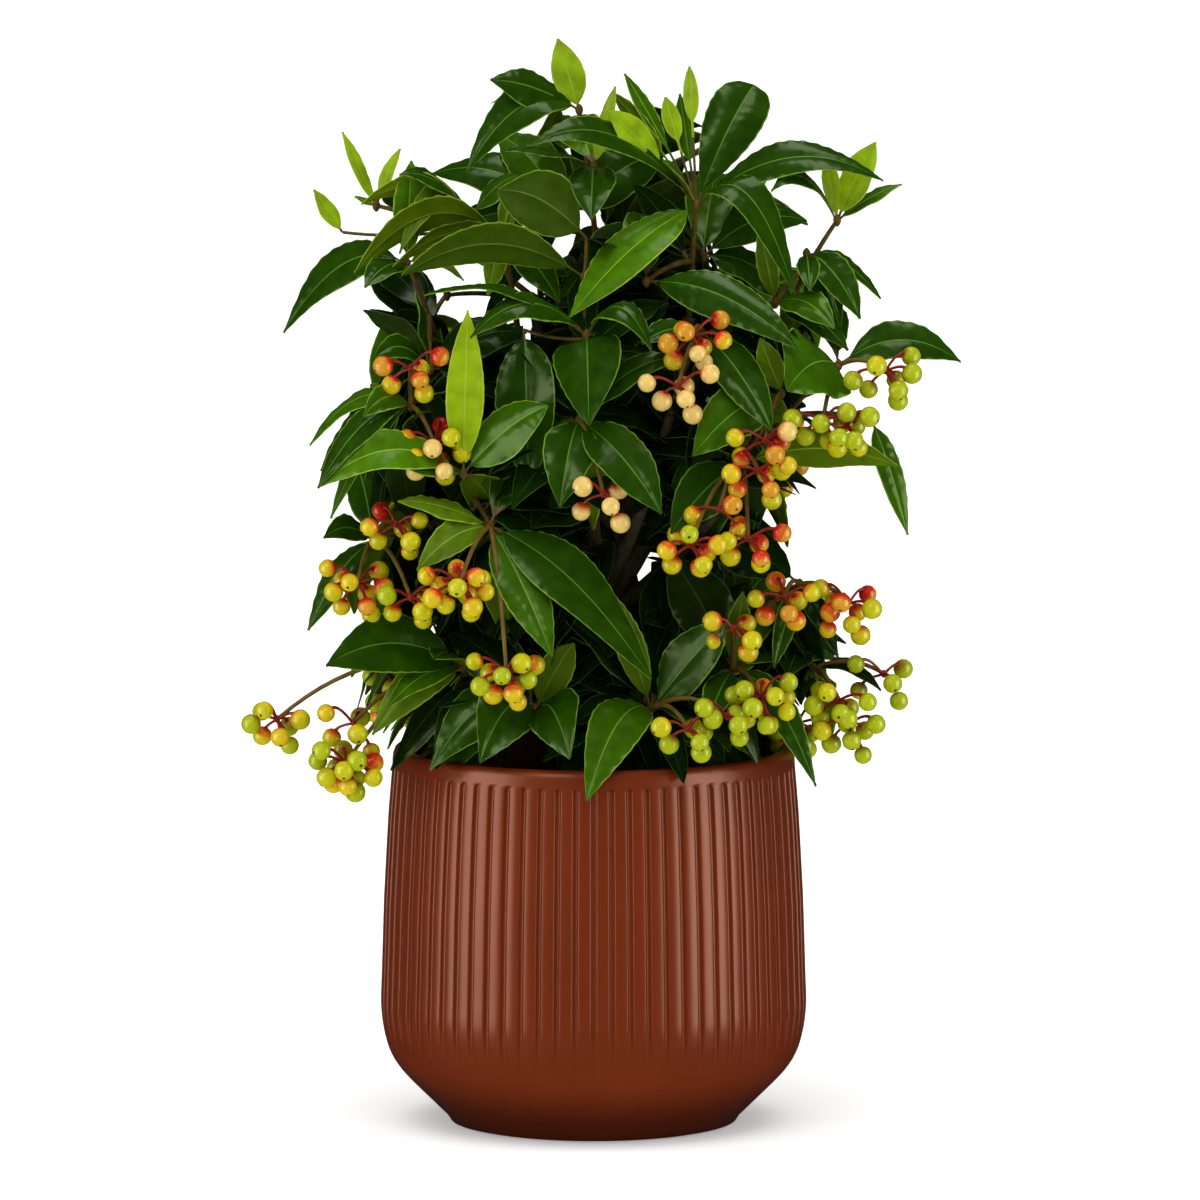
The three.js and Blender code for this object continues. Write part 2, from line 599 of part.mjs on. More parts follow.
// The leaf from its knot's centre. Its clearance covers the whole knot.
function wholeLeaf(base, leaf, blade, extra) {
  const rings = leafRings(base, leaf, blade, extra);
  const centre = middleOf(rings[0]);
  const round = rings[0].map((point) => point.clone().sub(centre).setLength(TWIG.knot + extra).add(base));
  return skin([extra > 0 ? round : [base.clone()], ...rings]);
}

// A leaf that lies in the plant's own clear space. Where it crosses its own mass it is fused on
// instead of sprouting from the knot, and a leaf that the rule adds is skipped.
function growLeaf(shoot, leaf, blade, mass) {
  const grown = wholeLeaf(shoot.knot, leaf, blade, 2 * GAP);
  if (!isClear(grown, mass)) return;
  const solid = wholeLeaf(shoot.knot, leaf, blade, 0);
  const way = new THREE.Vector3(leaf[0], leaf[1], leaf[2] + 2 * leaf[3]).normalize();
  const crossing = crossesOwn(outerLeaf(shoot.knot, leaf, blade, GAP), mass);
  const forms = [-1, 1].map((keelSide) => leafRings(shoot.knot, leaf, blade, 0, keelSide));
  if (crossing || !shoot.sprout.grow(way, ...forms)) {
    if (blade === ADDED_BLADE) return;
    shoot.fused.push(solid);
  }
  place(solid, grown, mass);
}

function inCrown(point) {
  const { centre, halfWidths, depth } = CROWN;
  if (point.z < halfWidths[0][0] || point.z > halfWidths.at(-1)[0]) return false;
  const width = alongTable(halfWidths, point.z);
  return Math.hypot(point.x - centre[0], (point.y - centre[1]) / depth) < width;
}

function hidesSky(base, leaf) {
  const [x, y, z, rise, , width] = leaf;
  const curve = bow(base, base.clone().add(new THREE.Vector3(x, y, z)), rise);
  return curve.getPoints(6).some((p) => SKY.some(([skyX, skyZ, radius]) => (
    Math.hypot(p.x - skyX, p.z - skyZ) < radius + width * 0.4)));
}

// A whorl of leaves round the shoot, each a golden angle on from the last. At the front they turn
// back into the crown, behind the aimed leaves.
function addedLeaves(shoot, seed) {
  const random = seeded(seed);
  const lift = (shoot.at[2] - CROWN.centre[2]) * CROWN.fan + CROWN.lift;
  const out = new THREE.Vector3(shoot.at[0], shoot.at[1], lift).normalize();
  const side = new THREE.Vector3().crossVectors(out, UP).normalize();
  const rise = new THREE.Vector3().crossVectors(side, out);
  return Array.from({ length: shoot.added }, (_, i) => {
    const around = i * GOLDEN_ANGLE + random() * ADDED_LEAF.jitter;
    const open = THREE.MathUtils.degToRad(ADDED_LEAF.opens + ADDED_LEAF.opensMore * random());
    const length = THREE.MathUtils.lerp(ADDED_LEAF.shortest, ADDED_LEAF.longest, random());
    const way = out.clone().multiplyScalar(Math.cos(open))
      .addScaledVector(side, Math.sin(open) * Math.cos(around))
      .addScaledVector(rise, Math.sin(open) * Math.sin(around));
    if (!shoot.behind && way.y < ADDED_LEAF.backward) way.y = ADDED_LEAF.backward - 0.6 * way.y;
    way.z -= ADDED_LEAF.droop;
    way.normalize().multiplyScalar(length);
    const turn = ADDED_LEAF.tilt * (random() - 0.5);
    return [way.x, way.y, way.z, length * ADDED_LEAF.rise, turn, length * ADDED_LEAF.width];
  });
}

// One bunch: a bent stalk to the hub, then fruit on their own stalks, hanging round it
function bunchPlan(bunch, seed) {
  const [x, y, z, count] = bunch;
  const random = seeded(seed);
  const hub = new THREE.Vector3(x, y, z);
  const fruit = Array.from({ length: count }, (_, i) => {
    const fall = Math.acos(1 - (FRUIT.spread * (i + 0.5)) / count);
    const around = i * GOLDEN_ANGLE + random() * FRUIT.jitter;
    const length = THREE.MathUtils.lerp(FRUIT.shortest, FRUIT.longest, random());
    return hub.clone().add(new THREE.Vector3(
      Math.sin(fall) * Math.cos(around) * length,
      Math.sin(fall) * Math.sin(around) * length,
      -Math.cos(fall) * length,
    ));
  });
  return { hub, fruit };
}

// A fruit on its own stalk: rings from the stalk's end to the fruit's middle, then its far point
function fruitRings(hub, centre, extra) {
  const way = centre.clone().sub(hub).normalize();
  const across = new THREE.Vector3().crossVectors(way, FRONT).normalize();
  const along = new THREE.Vector3().crossVectors(way, across);
  const radius = FRUIT.radius + extra;
  return [
    ring(centre.clone().addScaledVector(way, -radius), across, along, FRUIT.stalk + extra, 3),
    ring(centre, across, along, radius, 6),
    [centre.clone().addScaledVector(way, radius)],
  ];
}

// The same fruit from just beyond its hub
function fruitAlone(hub, centre, extra) {
  const [, round, end] = fruitRings(hub, centre, extra);
  return skin([[hub.clone().lerp(centre, 0.2)], round, end]);
}

// A bunch: its bent stalk is fused to the shoot's knot, and its fruit sprout from the hub
function growBunch(shoot, plan, mass) {
  const curve = bow(plan.hub, shoot.knot, FRUIT.bunchBow * shoot.knot.distanceTo(plan.hub));
  const clear = tube(curve, () => FRUIT.bunchStalk + GAP, 3, 4);
  if (!isClear(clear, mass)) return;
  place(tube(curve, () => FRUIT.bunchStalk, 3, 4), clear, mass);
  const sprout = new Sprout(plan.hub, new THREE.OctahedronGeometry(FRUIT.hub));
  sprout.grow(curve.getTangent(0), ringsAlong(curve, () => FRUIT.bunchStalk, 3, 3).slice(1));
  plan.fruit.filter((_, i) => i % FRUIT.every === 0).forEach((centre) => {
    const grown = fruitAlone(plan.hub, centre, 2 * GAP);
    if (!isClear(grown, mass) || crossesOwn(grown, mass)) return;
    const way = centre.clone().sub(plan.hub).normalize();
    if (!sprout.grow(way, fruitRings(plan.hub, centre, 0))) return;
    place(fruitAlone(plan.hub, centre, 0), grown, mass);
  });
  shoot.fused.push(sprout.solid());
}

// Shoots round the back, from the place of their bough
function backMass([name, azimuth, height, distance, count]) {
  const shoots = BACK_SHOOTS.map(([round, further, up], i) => {
    const angle = THREE.MathUtils.degToRad(azimuth + round);
    const radius = distance + further;
    const at = [radius * Math.cos(angle), CROWN.centre[1] + radius * Math.sin(angle), height + up];
    const bunch = [at[0] * BACK_HUB.out, at[1] * BACK_HUB.out, at[2] - BACK_HUB.drop, count];
    const bunches = count && i % 2 === 0 ? [bunch] : [];
    return { at, added: BACK_LEAVES, behind: true, leaves: [], bunches };
  });
  return { name: `foliage_${name}`, bough: `bough_${name}`, shoots };
}

function backBough([name, azimuth, height, distance]) {
  const angle = THREE.MathUtils.degToRad(azimuth);
  const tip = [distance * Math.cos(angle), CROWN.centre[1] + distance * Math.sin(angle), height];
  const { reach, lowest, highest } = BACK_FORK;
  const share = THREE.MathUtils.clamp((height - SOIL_LEVEL) / reach, lowest, highest);
  return [`bough_${name}`, share, tip, BACK_BOUGH.base, BACK_BOUGH.end];
}

// The twigs of a mass: its stem runs from the bough to the first whorl, and the others leave it
function growTwigs(mass, from) {
  const first = vector(mass.shoots[0].at);
  const stem = bow(first, from, TWIG.bow * from.distanceTo(first));
  mass.shoots.forEach((shoot, i) => {
    const start = i === 0 ? from : stem.getPoint(TWIG.fork - TWIG.forkStep * i);
    shoot.knot = vector(shoot.at);
    const twig = bow(shoot.knot, start, TWIG.bow * start.distanceTo(shoot.knot));
    shoot.sprout = new Sprout(shoot.knot, new THREE.IcosahedronGeometry(TWIG.knot));
    shoot.sprout.grow(twig.getTangent(0), ringsAlong(twig, twigRadius, 3, 3).slice(1));
    shoot.fused = [];
    const whole = tube(twig, twigRadius, 3, 3);
    shoot.trimmers = neighbours(whole, mass.name).map((piece) => piece.grown);
    place(whole, tube(twig, (share) => twigRadius(share) + LIMB_GAP, 3, 3), mass.name);
    place(knotAt(shoot.knot, TWIG.knot), knotAt(shoot.knot, TWIG.knot + GAP), mass.name);
  });
}

const knotAt = (centre, radius) => new Sprout(centre, new THREE.IcosahedronGeometry(radius)).solid();
const twigRadius = (share) => THREE.MathUtils.lerp(TWIG.end, TWIG.base, share);

function massSolid(mass) {
  const whole = Manifold.union(mass.shoots.flatMap((shoot) => [shoot.sprout.solid(), ...shoot.fused]));
  const trimmers = mass.shoots.flatMap((shoot) => shoot.trimmers);
  return largestPart(trimmers.length ? whole.subtract(Manifold.union(trimmers)) : whole);
}

function growPlant() {
  const trunk = makeTrunk();
  const limbs = [['trunk', trunk.solid]];
  const tips = {};
  for (const [name, share, tip, base, end] of [...BOUGHS, ...BACK_MASSES.map(backBough)]) {
    limbs.push([name, makeBough(trunk.curve, name, share, tip, base, end)]);
    tips[name] = vector(tip);
  }
  place(pot, potGuard(), 'pot');
  const masses = [...FRONT_MASSES, ...BACK_MASSES.map(backMass)];
  masses.forEach((mass) => growTwigs(mass, tips[mass.bough]));
  const shoots = masses.flatMap((mass) => mass.shoots.map((shoot) => ({ mass: mass.name, shoot })));
  for (const { mass, shoot } of shoots) {
    shoot.leaves.forEach((leaf) => growLeaf(shoot, leaf, AIMED_BLADE, mass));
  }
  shoots.forEach(({ mass, shoot }, index) => {
    shoot.bunches.forEach((bunch, k) => growBunch(shoot, bunchPlan(bunch, SEED + 100 * index + k), mass));
  });
  shoots.forEach(({ mass, shoot }, index) => {
    for (const leaf of addedLeaves(shoot, SEED + 7 * index)) {
      const tip = shoot.knot.clone().add(new THREE.Vector3(leaf[0], leaf[1], leaf[2]));
      if (inCrown(tip) && !hidesSky(shoot.knot, leaf)) growLeaf(shoot, leaf, ADDED_BLADE, mass);
    }
  });
  return [...limbs, ...masses.map((mass) => [mass.name, massSolid(mass)])];
}

const POT_FINISH = { color: 0x6e2a14, roughness: 0.5, metalness: 0 };
const SOIL_FINISH = { color: 0x1c130d, roughness: 1, metalness: 0 };
const BARK_FINISH = { color: 0x5a4a2a, roughness: 0.8, metalness: 0 };
const LEAF_FINISH = { color: 0x1f5212, roughness: 0.3, metalness: 0 };

function named(name, solid, finish) {
  const { vertProperties, triVerts } = largestPart(solid.simplify(0.02)).getMesh();
  const geometry = new THREE.BufferGeometry();
  geometry.setAttribute('position', new THREE.BufferAttribute(vertProperties, 3));
  geometry.setIndex(new THREE.BufferAttribute(triVerts, 1));
  const mesh = new THREE.Mesh(geometry, new THREE.MeshStandardMaterial(finish));
  mesh.name = name;
  return mesh;
}

const pot = makePot();
const soil = makeSoil();

const potted = new THREE.Group();
potted.add(named('pot', pot, POT_FINISH));
potted.add(named('potting_mix', soil, SOIL_FINISH));
for (const [name, solid] of growPlant()) {
  potted.add(named(name, solid, name.startsWith('foliage') ? LEAF_FINISH : BARK_FINISH));
}

export default potted;
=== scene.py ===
"""The looks of a potted coral berry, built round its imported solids.

Lengths are in millimetres until a piece is made, which turns them into metres. +Z is up, +X is to
the right and -Y is the front. The plant grows by the same tables and the same seeded rule as its
solids, carried on to finer leaves, veins, twigs and fruit.
"""

import math

import bpy
import numpy as np
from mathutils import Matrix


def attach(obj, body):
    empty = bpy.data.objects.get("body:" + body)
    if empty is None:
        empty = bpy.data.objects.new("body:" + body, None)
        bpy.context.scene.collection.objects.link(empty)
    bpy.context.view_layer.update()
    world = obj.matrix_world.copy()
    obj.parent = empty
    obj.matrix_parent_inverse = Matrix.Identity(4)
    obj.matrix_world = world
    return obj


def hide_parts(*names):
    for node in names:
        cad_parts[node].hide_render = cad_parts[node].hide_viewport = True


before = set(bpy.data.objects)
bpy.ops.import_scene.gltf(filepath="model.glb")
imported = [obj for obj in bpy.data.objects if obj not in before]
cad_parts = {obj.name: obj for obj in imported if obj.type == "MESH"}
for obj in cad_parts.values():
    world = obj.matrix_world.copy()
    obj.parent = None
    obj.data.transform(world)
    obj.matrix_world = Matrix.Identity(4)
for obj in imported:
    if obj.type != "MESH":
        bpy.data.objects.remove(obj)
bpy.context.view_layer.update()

UP = np.array([0.0, 0.0, 1.0])
FRONT = np.array([0.0, -1.0, 0.0])
GOLDEN_ANGLE = math.radians(137.508)
SEED = 41

# The pot: radius and height of its wall, from foot to rim outside and down again inside
POT_OUTSIDE = [
    (57, 0), (60.4, 0.8), (62, 3.3), (80.5, 21.5), (84.4, 26.6), (86.9, 32), (89, 41), (89.9, 50), (89.4, 62),
    (88.4, 95), (86.4, 132), (84.7, 152),
]
POT_RIM = [(84.4, 156.2), (83.7, 158.3), (82.3, 159.5), (80.8, 159.5), (79.5, 158.4), (79, 156.5)]
POT_INSIDE = [(78.6, 150), (80.6, 120), (84, 52), (76, 26), (55, 8)]
GROOVES = 72
# Across a groove: how far each line of points lies from its middle, and its share of the full depth
GROOVE_SECTION = [
    (-1.7, 0), (-1.35, 0.08), (-1.05, 0.5), (-0.78, 0.94), (0, 1.06), (0.78, 0.94), (1.05, 0.5),
    (1.35, 0.08), (1.7, 0),
]
GROOVE = {"foot": 34, "belly": 50, "top": 152, "round": 1.5, "depth": 1.3}
# Rows of points up the wall: from, to and how many
WALL_ROWS = [(3.3, 30, 16), (31, 54, 20), (60, 144, 8), (153.5, 153.5, 1)]

SOIL_LEVEL = 140
MIX_OUTSIDE = [(78.2, SOIL_LEVEL - 1.5), (79.4, 126), (83, 53), (75.2, 27), (54, 8.5), (0.2, 8.5)]
CRUMB = {
    "count": 320, "within": 76, "grid": (8, 6), "sizes": (0.7, 2.2), "squash": (0.6, 1.2),
    "rough": (0.85, 1.15),
}
TRUNK = {
    "foot": (0, 5, 140), "tip": (3, 5, 238), "lean": -5,
    "flare": 14, "flare_share": 0.12, "base": 8, "end": 5.2,
}

# Boughs: name, where each leaves the trunk as a share of its height, tip, and the radius at both ends
BOUGHS = [
    ("top", 1, (3, 10, 352), 4.8, 2.7),
    ("upper_right", 0.94, (40, 2, 340), 4.4, 2.8),
    ("upper_left", 0.9, (-32, 2, 336), 4.2, 2.5),
    ("right_shoulder", 0.84, (76, 8, 330), 4, 2.3),
    ("left_shoulder", 0.8, (-62, 2, 318), 4, 2.3),
    ("front", 0.86, (-2, -32, 292), 4, 2.3),
    ("left", 0.64, (-50, -20, 256), 4, 2.3),
    ("right", 0.7, (62, -18, 276), 4, 2.3),
    ("inner_right", 0.78, (32, -24, 302), 3.6, 2.2),
    ("low_right", 0.46, (56, -24, 212), 3.6, 2.2),
    ("low_front", 0.3, (16, -30, 182), 3.6, 2.2),
    ("low_left", 0.34, (-28, -26, 184), 3.6, 2.2),
]
BOUGH_BOW = {"out": 0.16, "sag": 0.04}
# Rows of points along a limb, points round it and how rough its bark is
LIMB_DETAIL = {"trunk": (70, 28, 0.045), "bough": (40, 14, 0.05), "twig": (22, 10, 0.05)}
KNOT = [0.2, 0.7, 0.95, 1, 0.9, 0.65, 0.2]

# Foliage at the front and top. A mass is its name, its bough's name and its shoots. A shoot is the
# place of its whorl, the number of leaves that the rule adds, its aimed leaves and then its bunches.
# A leaf is its tip's way from the whorl, how far its middle rises, how many degrees its face turns to
# the front, its width, its tone where it isn't dark, and its form where it isn't pointed. A bunch is
# its hub, its count and its mix of colours.
# Aimed leaves of the deep tone lie inside the crown and are darkened as painted shade.
FRONT_MASSES = [
    ("top", "top", [
        ((-6, 4, 427), 8, [
            (-9, 0, 30, 0, 85, 14, "lime"), (-37, -14, 14, 3, 55, 19),
            (-47, -22, -24, 15, 45, 20), (-37, 14, 2, 6, 20, 12, "lime"),
        ]),
        ((0, -8, 404), 8, [
            (-1, -42, -18, 6, 0, 20), (-37, -25, 9, 4, 5, 18), (9, -2, 34, 0, 60, 9, "lime"),
        ]),
        ((-10, 16, 380), 4, [
            (-58, 16, 18, 10, 40, 24), (-66, 10, -16, 10, 30, 25),
            (-30, 20, 34, 6, 50, 22, "green"), (40, 22, 26, 6, 45, 24),
            (-36, 8, -42, 8, 40, 24, "deep"),
        ]),
    ]),
    ("upper_right", "upper_right", [
        ((43, -8, 388), 8, [
            (-69, -34, 28, 17, 40, 19), (78, -6, 11, 15, 40, 20),
            (41, -25, -35, 24, 30, 19), (-53, -40, -43, 6, 30, 23, "bright"),
            (24, 8, 50, 4, 65, 25, "dark", "blunt"), (-3, 4, 58, 0, 60, 7, "lime", "bud"),
            (-37, -14, 41, 2, 60, 17, "lime", "stalked"), (-35, 6, 47, 3, -60, 10, "olive", "stalked"),
            (-30, 4, 55, 2, 45, 8, "green", "stalked"), (-7, 10, 46, 0, 60, 9, "green", "stalked"),
        ]),
        ((22, -28, 358), 8, [(62, -34, -24, 8, 45, 22)]),
        ((46, 16, 364), 4, [
            (44, 16, 14, 8, 40, 22), (40, 8, -22, 8, 40, 22), (6, 12, 38, 4, 50, 22, "green"),
            (-8, 4, -52, 6, 45, 22, "deep"),
        ]),
    ]),
    ("right_shoulder", "right_shoulder", [
        ((102, 0, 381), 8, [
            (-28, -20, 14, 12, 40, 12), (16, 0, 33, 2, 60, 15, "lime"),
            (27, 4, 15, 2, 30, 9, "green"), (-5, 6, 30, 0, 60, 8, "lime"),
        ]),
        ((89, -12, 368), 8, [
            (22, -22, -25, 6, 30, 16), (31, -8, -18, 6, 20, 13),
            (1, -25, -13, 3, 0, 10),
        ]),
        ((76, -16, 348), 8, [
            (24, -28, -8, 6, 30, 16, "green"), (30, -20, -18, 5, 30, 15),
            (-7, -6, 32, 0, -50, 9, "green"),
        ]),
    ]),
    ("upper_left", "upper_left", [
        ((-38, -12, 376), 8, [(-62, -12, -15, 17, -60, 18, "olive"), (6, -6, 25, 0, -50, 9, "bright")]),
        ((-51, -4, 384), 8, [
            (-46, -8, 5, 10, -50, 15, "bright"), (-30, -14, 18, 6, 30, 14),
            (-30, -18, -15, 16, 50, 12, "olive"),
        ]),
        ((-91, 2, 387), 8, [
            (-14, 0, 31, 0, 50, 7, "lime"), (10, 0, 24, 2, 50, 7, "lime"), (-9, 0, 4, 0, 50, 3.5, "olive"),
        ]),
    ]),
    ("left_shoulder", "left_shoulder", [
        ((-78, -12, 364), 8, [(-52, 10, -30, 15, 50, 21), (-17, -30, -7, 4, 20, 14)]),
        ((-68, -34, 322), 8, [
            (-6, -6, 33, 2, 50, 22), (-24, -20, 5, 8, 60, 12),
            (42, 16, -20, 6, 40, 24, "deep"), (40, 14, 14, 6, 40, 22, "deep"),
        ]),
    ]),
    ("front", "front", [
        ((-3, -52, 338), 8, [
            (1, -34, -34, 5, 20, 30, "dark", "heart"), (27, -22, -4, 15, 20, 17),
            (-67, -14, 18, 10, 10, 15), (-48, -22, 1, 14, 35, 17),
        ]),
        ((-4, -30, 360), 8, [(-76, -16, 2, 14, -72, 19, "moss")]),
    ]),
    ("middle", "front", [
        ((-6, -66, 304), 8, [(-8, -20, -34, 6, 20, 22), (34, -26, -36, 5, 35, 23)],
         (4, -82, 275, 5, "cream")),
    ]),
    ("left", "left_shoulder", [
        ((-76, -46, 308), 8, [
            (-42, -6, -16, 12, 20, 14, "green"), (-37, -22, -25, 10, 25, 14),
            (-38, -32, -31, 10, 25, 14), (-19, -24, -2, 6, 55, 12, "green"),
            (-33, -20, -45, 10, 25, 11, "green"),
        ], (-76, -60, 325, 6, "red"), (-66, -58, 293, 12, "mixed")),
    ]),
    ("left_middle", "left", [
        ((-54, -60, 281), 8, [
            (2, -10, 69, 0, -20, 16, "lime"), (-60, -16, -4, 13, 50, 20, "bright"),
            (35, -16, 30, 4, 72, 22, "green"), (-29, -10, 6, 0, 50, 9, "green"),
        ]),
        ((-43, -60, 259), 8, [
            (-38, -12, 12, 3, 40, 12, "olive"), (-30, -20, -16, 5, 60, 14, "olive"),
            (67, -30, -60, 10, 40, 26), (26, -28, -51, 4, 35, 20, "green"),
        ], (-55, -82, 238, 12, "orange"), (-36, -84, 201, 11, "yellow")),
    ]),
    ("left_low", "left", [
        ((-92, -34, 250), 8, [(-27, -14, -36, 6, 35, 14), (-20, -24, 4, 5, 65, 12)],
         (-98, -56, 235, 10, "orange"), (-76, -66, 230, 6, "yellow"), (-82, -60, 260, 7, "orange")),
    ]),
    ("right", "right", [
        ((102, -38, 324), 8, [(-22, -34, -7, 6, 50, 36, "green", "heart"), (51, 4, 1, 10, 55, 19)],
         (121, -50, 323, 9, "lime"), (95, -62, 303, 6, "lime")),
        ((116, -30, 300), 8, [(15, -10, -47, 4, 40, 11, "green")], (105, -60, 301, 6, "lime")),
    ]),
    ("right_middle", "right", [
        ((78, -46, 313), 8, [(-9, -8, 24, 0, -55, 11, "green"), (-37, -28, -23, 6, 55, 23, "green")],
         (71, -70, 296, 6, "mixed")),
        ((62, -46, 284), 8, [
            (64, -10, 0, 7, -70, 18, "olive"), (-30, -30, -26, 4, 50, 22),
            (-40, 16, -34, 6, 40, 24, "deep"),
        ], (68, -74, 284, 7, "orange"), (52, -76, 268, 3, "orange"), (40, -82, 254, 8, "yellow"),
         (64, -78, 256, 7, "red")),
    ]),
    ("inner_right", "inner_right", [
        ((45, -42, 338), 8, [
            (29, -30, -38, 5, 40, 19), (-25, -25, -2, 4, 30, 14),
            (-6, 10, -60, 4, 45, 26, "deep"),
        ], (41, -66, 339, 9, "blush"), (35, -74, 319, 6, "cream")),
    ]),
    ("low_right", "low_right", [
        ((86, -38, 232), 8, [
            (-11, -24, -32, 3, 40, 10), (16, -6, -30, 4, 30, 12, "deep"),
            (-44, 16, 16, 6, 40, 26, "deep"),
        ], (79, -64, 230, 7, "orange"), (106, -52, 226, 10, "orange")),
        ((92, -34, 196), 8, [(28, -8, -8, 6, 25, 10, "deep")],
         (121, -42, 195, 5, "lime"), (101, -60, 186, 8, "lime"), (106, -56, 176, 8, "lime")),
    ]),
    ("low_front", "low_front", [
        ((24, -56, 182), 8, [
            (-27, -40, -33, 14, 35, 23, "green"), (31, -16, 38, 2, 75, 24),
            (-19, -10, 52, 3, -60, 13),
        ], (39, -88, 178, 6, "lime"), (55, -86, 183, 5, "lime")),
        ((58, -54, 198), 8, [
            (34, -34, -44, 12, 35, 14), (-11, -34, -18, 3, 20, 14),
            (4, -8, 34, 0, -35, 11), (-26, 12, 46, 4, 50, 26, "deep"),
        ], (69, -78, 190, 14, "lime"), (58, -74, 218, 5, "orange")),
    ]),
    ("low_left", "low_left", [
        ((-24, -56, 182), 8, [
            (-44, -12, -24, 14, 50, 24), (-23, -34, -18, 12, 50, 26),
            (14, -36, -16, 10, 45, 24), (16, -10, 29, 2, -65, 15),
            (-36, 14, 30, 6, 40, 24, "deep"),
        ]),
        ((-54, -46, 198), 8, [
            (-57, -24, 4, 10, 65, 27), (-12, -34, 8, 5, 20, 16),
            (-32, -24, -14, 6, 30, 13, "green"), (-38, -16, -26, 8, 60, 17, "olive"),
        ], (-100, -54, 176, 5, "yellow"), (-103, -62, 160, 13, "yellow"), (-132, -42, 176, 8, "yellow")),
    ]),
]

# Foliage round the sides and back: name, azimuth of its bough from +X towards the back, height of the
# bough's tip, its distance from the axis, and the number of fruit in each bunch. Their shoots: degrees
# further round, distance further out and height above that tip.
BACK_MASSES = [
    ("back_low_right", 22, 206, 42, 9),
    ("back_low", 88, 208, 44, 10),
    ("back_low_left", 156, 204, 42, 10),
    ("right_side", 4, 296, 46, 9),
    ("back_right", 50, 284, 54, 10),
    ("back_left", 120, 280, 54, 10),
    ("left_side", 172, 280, 50, 9),
    ("back_upper_right", 46, 342, 42, 6),
    ("back_upper_left", 128, 346, 42, 6),
    ("back_top", 86, 372, 24, 0),
]
BACK_SHOOTS = [(-22, 32, -16), (3, 42, 14), (24, 28, 0), (-10, 14, 36)]
BACK_LEAVES = 8
BACK_BOUGH = {"base": 3.8, "end": 2.2}
BACK_HUB = {"out": 1.16, "drop": 22, "inside": 12}
BACK_FORK = {"reach": 220, "lowest": 0.3, "highest": 0.98}
BACK_MIXES = ["yellow", "orange", "lime", "mixed"]

# What a leaf that the rule adds keeps to: the crown's half width at each height, its depth as a share
# of that, how steeply its shoots fan out, and clear lines of sight from the front
CROWN = {"centre": (0, 4, 285), "depth": 1.12, "fan": 0.7, "lift": 30}
HALF_WIDTHS = [
    (138, 60), (150, 98), (200, 112), (240, 84), (282, 104), (326, 92), (362, 104), (404, 88), (448, 20),
]
SKY = [
    (-59, 362, 8), (-46, 358, 8), (-35, 360, 6), (-14, 375, 8), (-5, 384, 6), (-61, 342, 5), (-28, 343, 7),
    (57, 368, 7), (67, 367, 6), (12, 262, 5), (17, 232, 6), (73, 235, 5), (-23, 176, 5), (14, 437, 4),
    (30, 436, 4), (92, 250, 9), (95, 264, 7),
]
# The rule for the leaves round a shoot: lengths in mm, angles in degrees, jitter in radians, and the
# rest as shares of a leaf's length
ADDED_LEAF = {
    "shortest": 46, "longest": 66, "width": 0.36, "rise": 0.14, "opens": 52, "opens_more": 36, "jitter": 0.7,
    "lift": -0.12, "faces": 30, "tilt": 24,
}
# How far forward the tips of the leaves that the front shoots add lie at least
FORWARD = 0.2
# The same for leaves lower on twigs and boughs, which only this finer model has, with their places there
INNER_LEAF = {
    "on_twig": (0.2, 0.38, 0.56, 0.74, 0.92), "on_bough": (0.08, 0.2, 0.32, 0.44, 0.56, 0.68), "count": 5,
    "shortest": 38, "longest": 60, "width": 0.4, "rise": 0.1, "opens": 66, "opens_more": 20, "jitter": 0.8,
    "lift": 0.05, "faces": 30, "tilt": 40,
}
# How far apart the added leaves keep their midribs, in mm
ROOM = {"added": 3.0, "inner": 2.5}
# The half width that is seen of a turned blade, as a share of its width
SEEN_HALF = 0.4
# Twigs, which are finer here than in the solids
TWIG = {"base": 1.7 * 0.85, "end": 1.3 * 0.7, "knot": 2.1 * 0.85, "fork": 0.7, "fork_step": 0.14, "bow": 0.06}
# Sprigs too fine for the solids: the mass, the shoot, where on its twig, the leaf's foot and the leaf
FINE_SPRIGS = [
    ("front", 1, 0.05, (-3, -29, 376), (-37, -18, 22, 6, -76, 27, "moss")),
    ("front", 0, 0.05, (-29, -50, 340), (2, -12, -66, 6, 35, 28)),
    ("upper_left", 2, 0.55, (-105, 0, 376), (-12, 0, 18, 0, 60, 8, "lime")),
]
# Smaller leaves between the solids' own, seen from the front: the mass, the shoot and the leaf
SMALL_LEAVES = [
    ("upper_left", 0, (-46, -16, -12, 8, -50, 14, "olive")),
    ("upper_left", 0, (-6, -14, -24, 2, 50, 11, "olive")),
    ("upper_left", 0, (24, -14, -27, 4, 40, 16)),
    ("upper_left", 1, (19, -8, 17, 3, 45, 14, "green")),
    ("left_shoulder", 0, (2, 2, 43, 2, 60, 14, "bright")),
    ("left_shoulder", 0, (24, -10, -6, 6, -45, 13, "olive")),
    ("upper_right", 0, (-13, 6, 45, 0, 60, 8, "lime", "bud")),
    ("upper_right", 0, (-14, -16, 20, 4, 40, 9, "green")),
    ("right_shoulder", 1, (14, -18, -30, 4, 40, 13)),
]
FRUIT = {
    "radius": 4.15, "sizes": (0.9, 1.06), "stalk": 0.64, "shortest": 10, "longest": 15, "spread": 1.5,
    "jitter": 0.5, "hangs": (0.5, 1.1), "blush": (0.3, 0.85), "grid": (14, 12), "dot": 5,
}
BUNCH = {"stalk": 0.85, "foot": 1.15, "bow": 0.14, "knob": [0.5, 1.2, 1.3, 1.1, 0.5], "red": 0, "olive": 1}
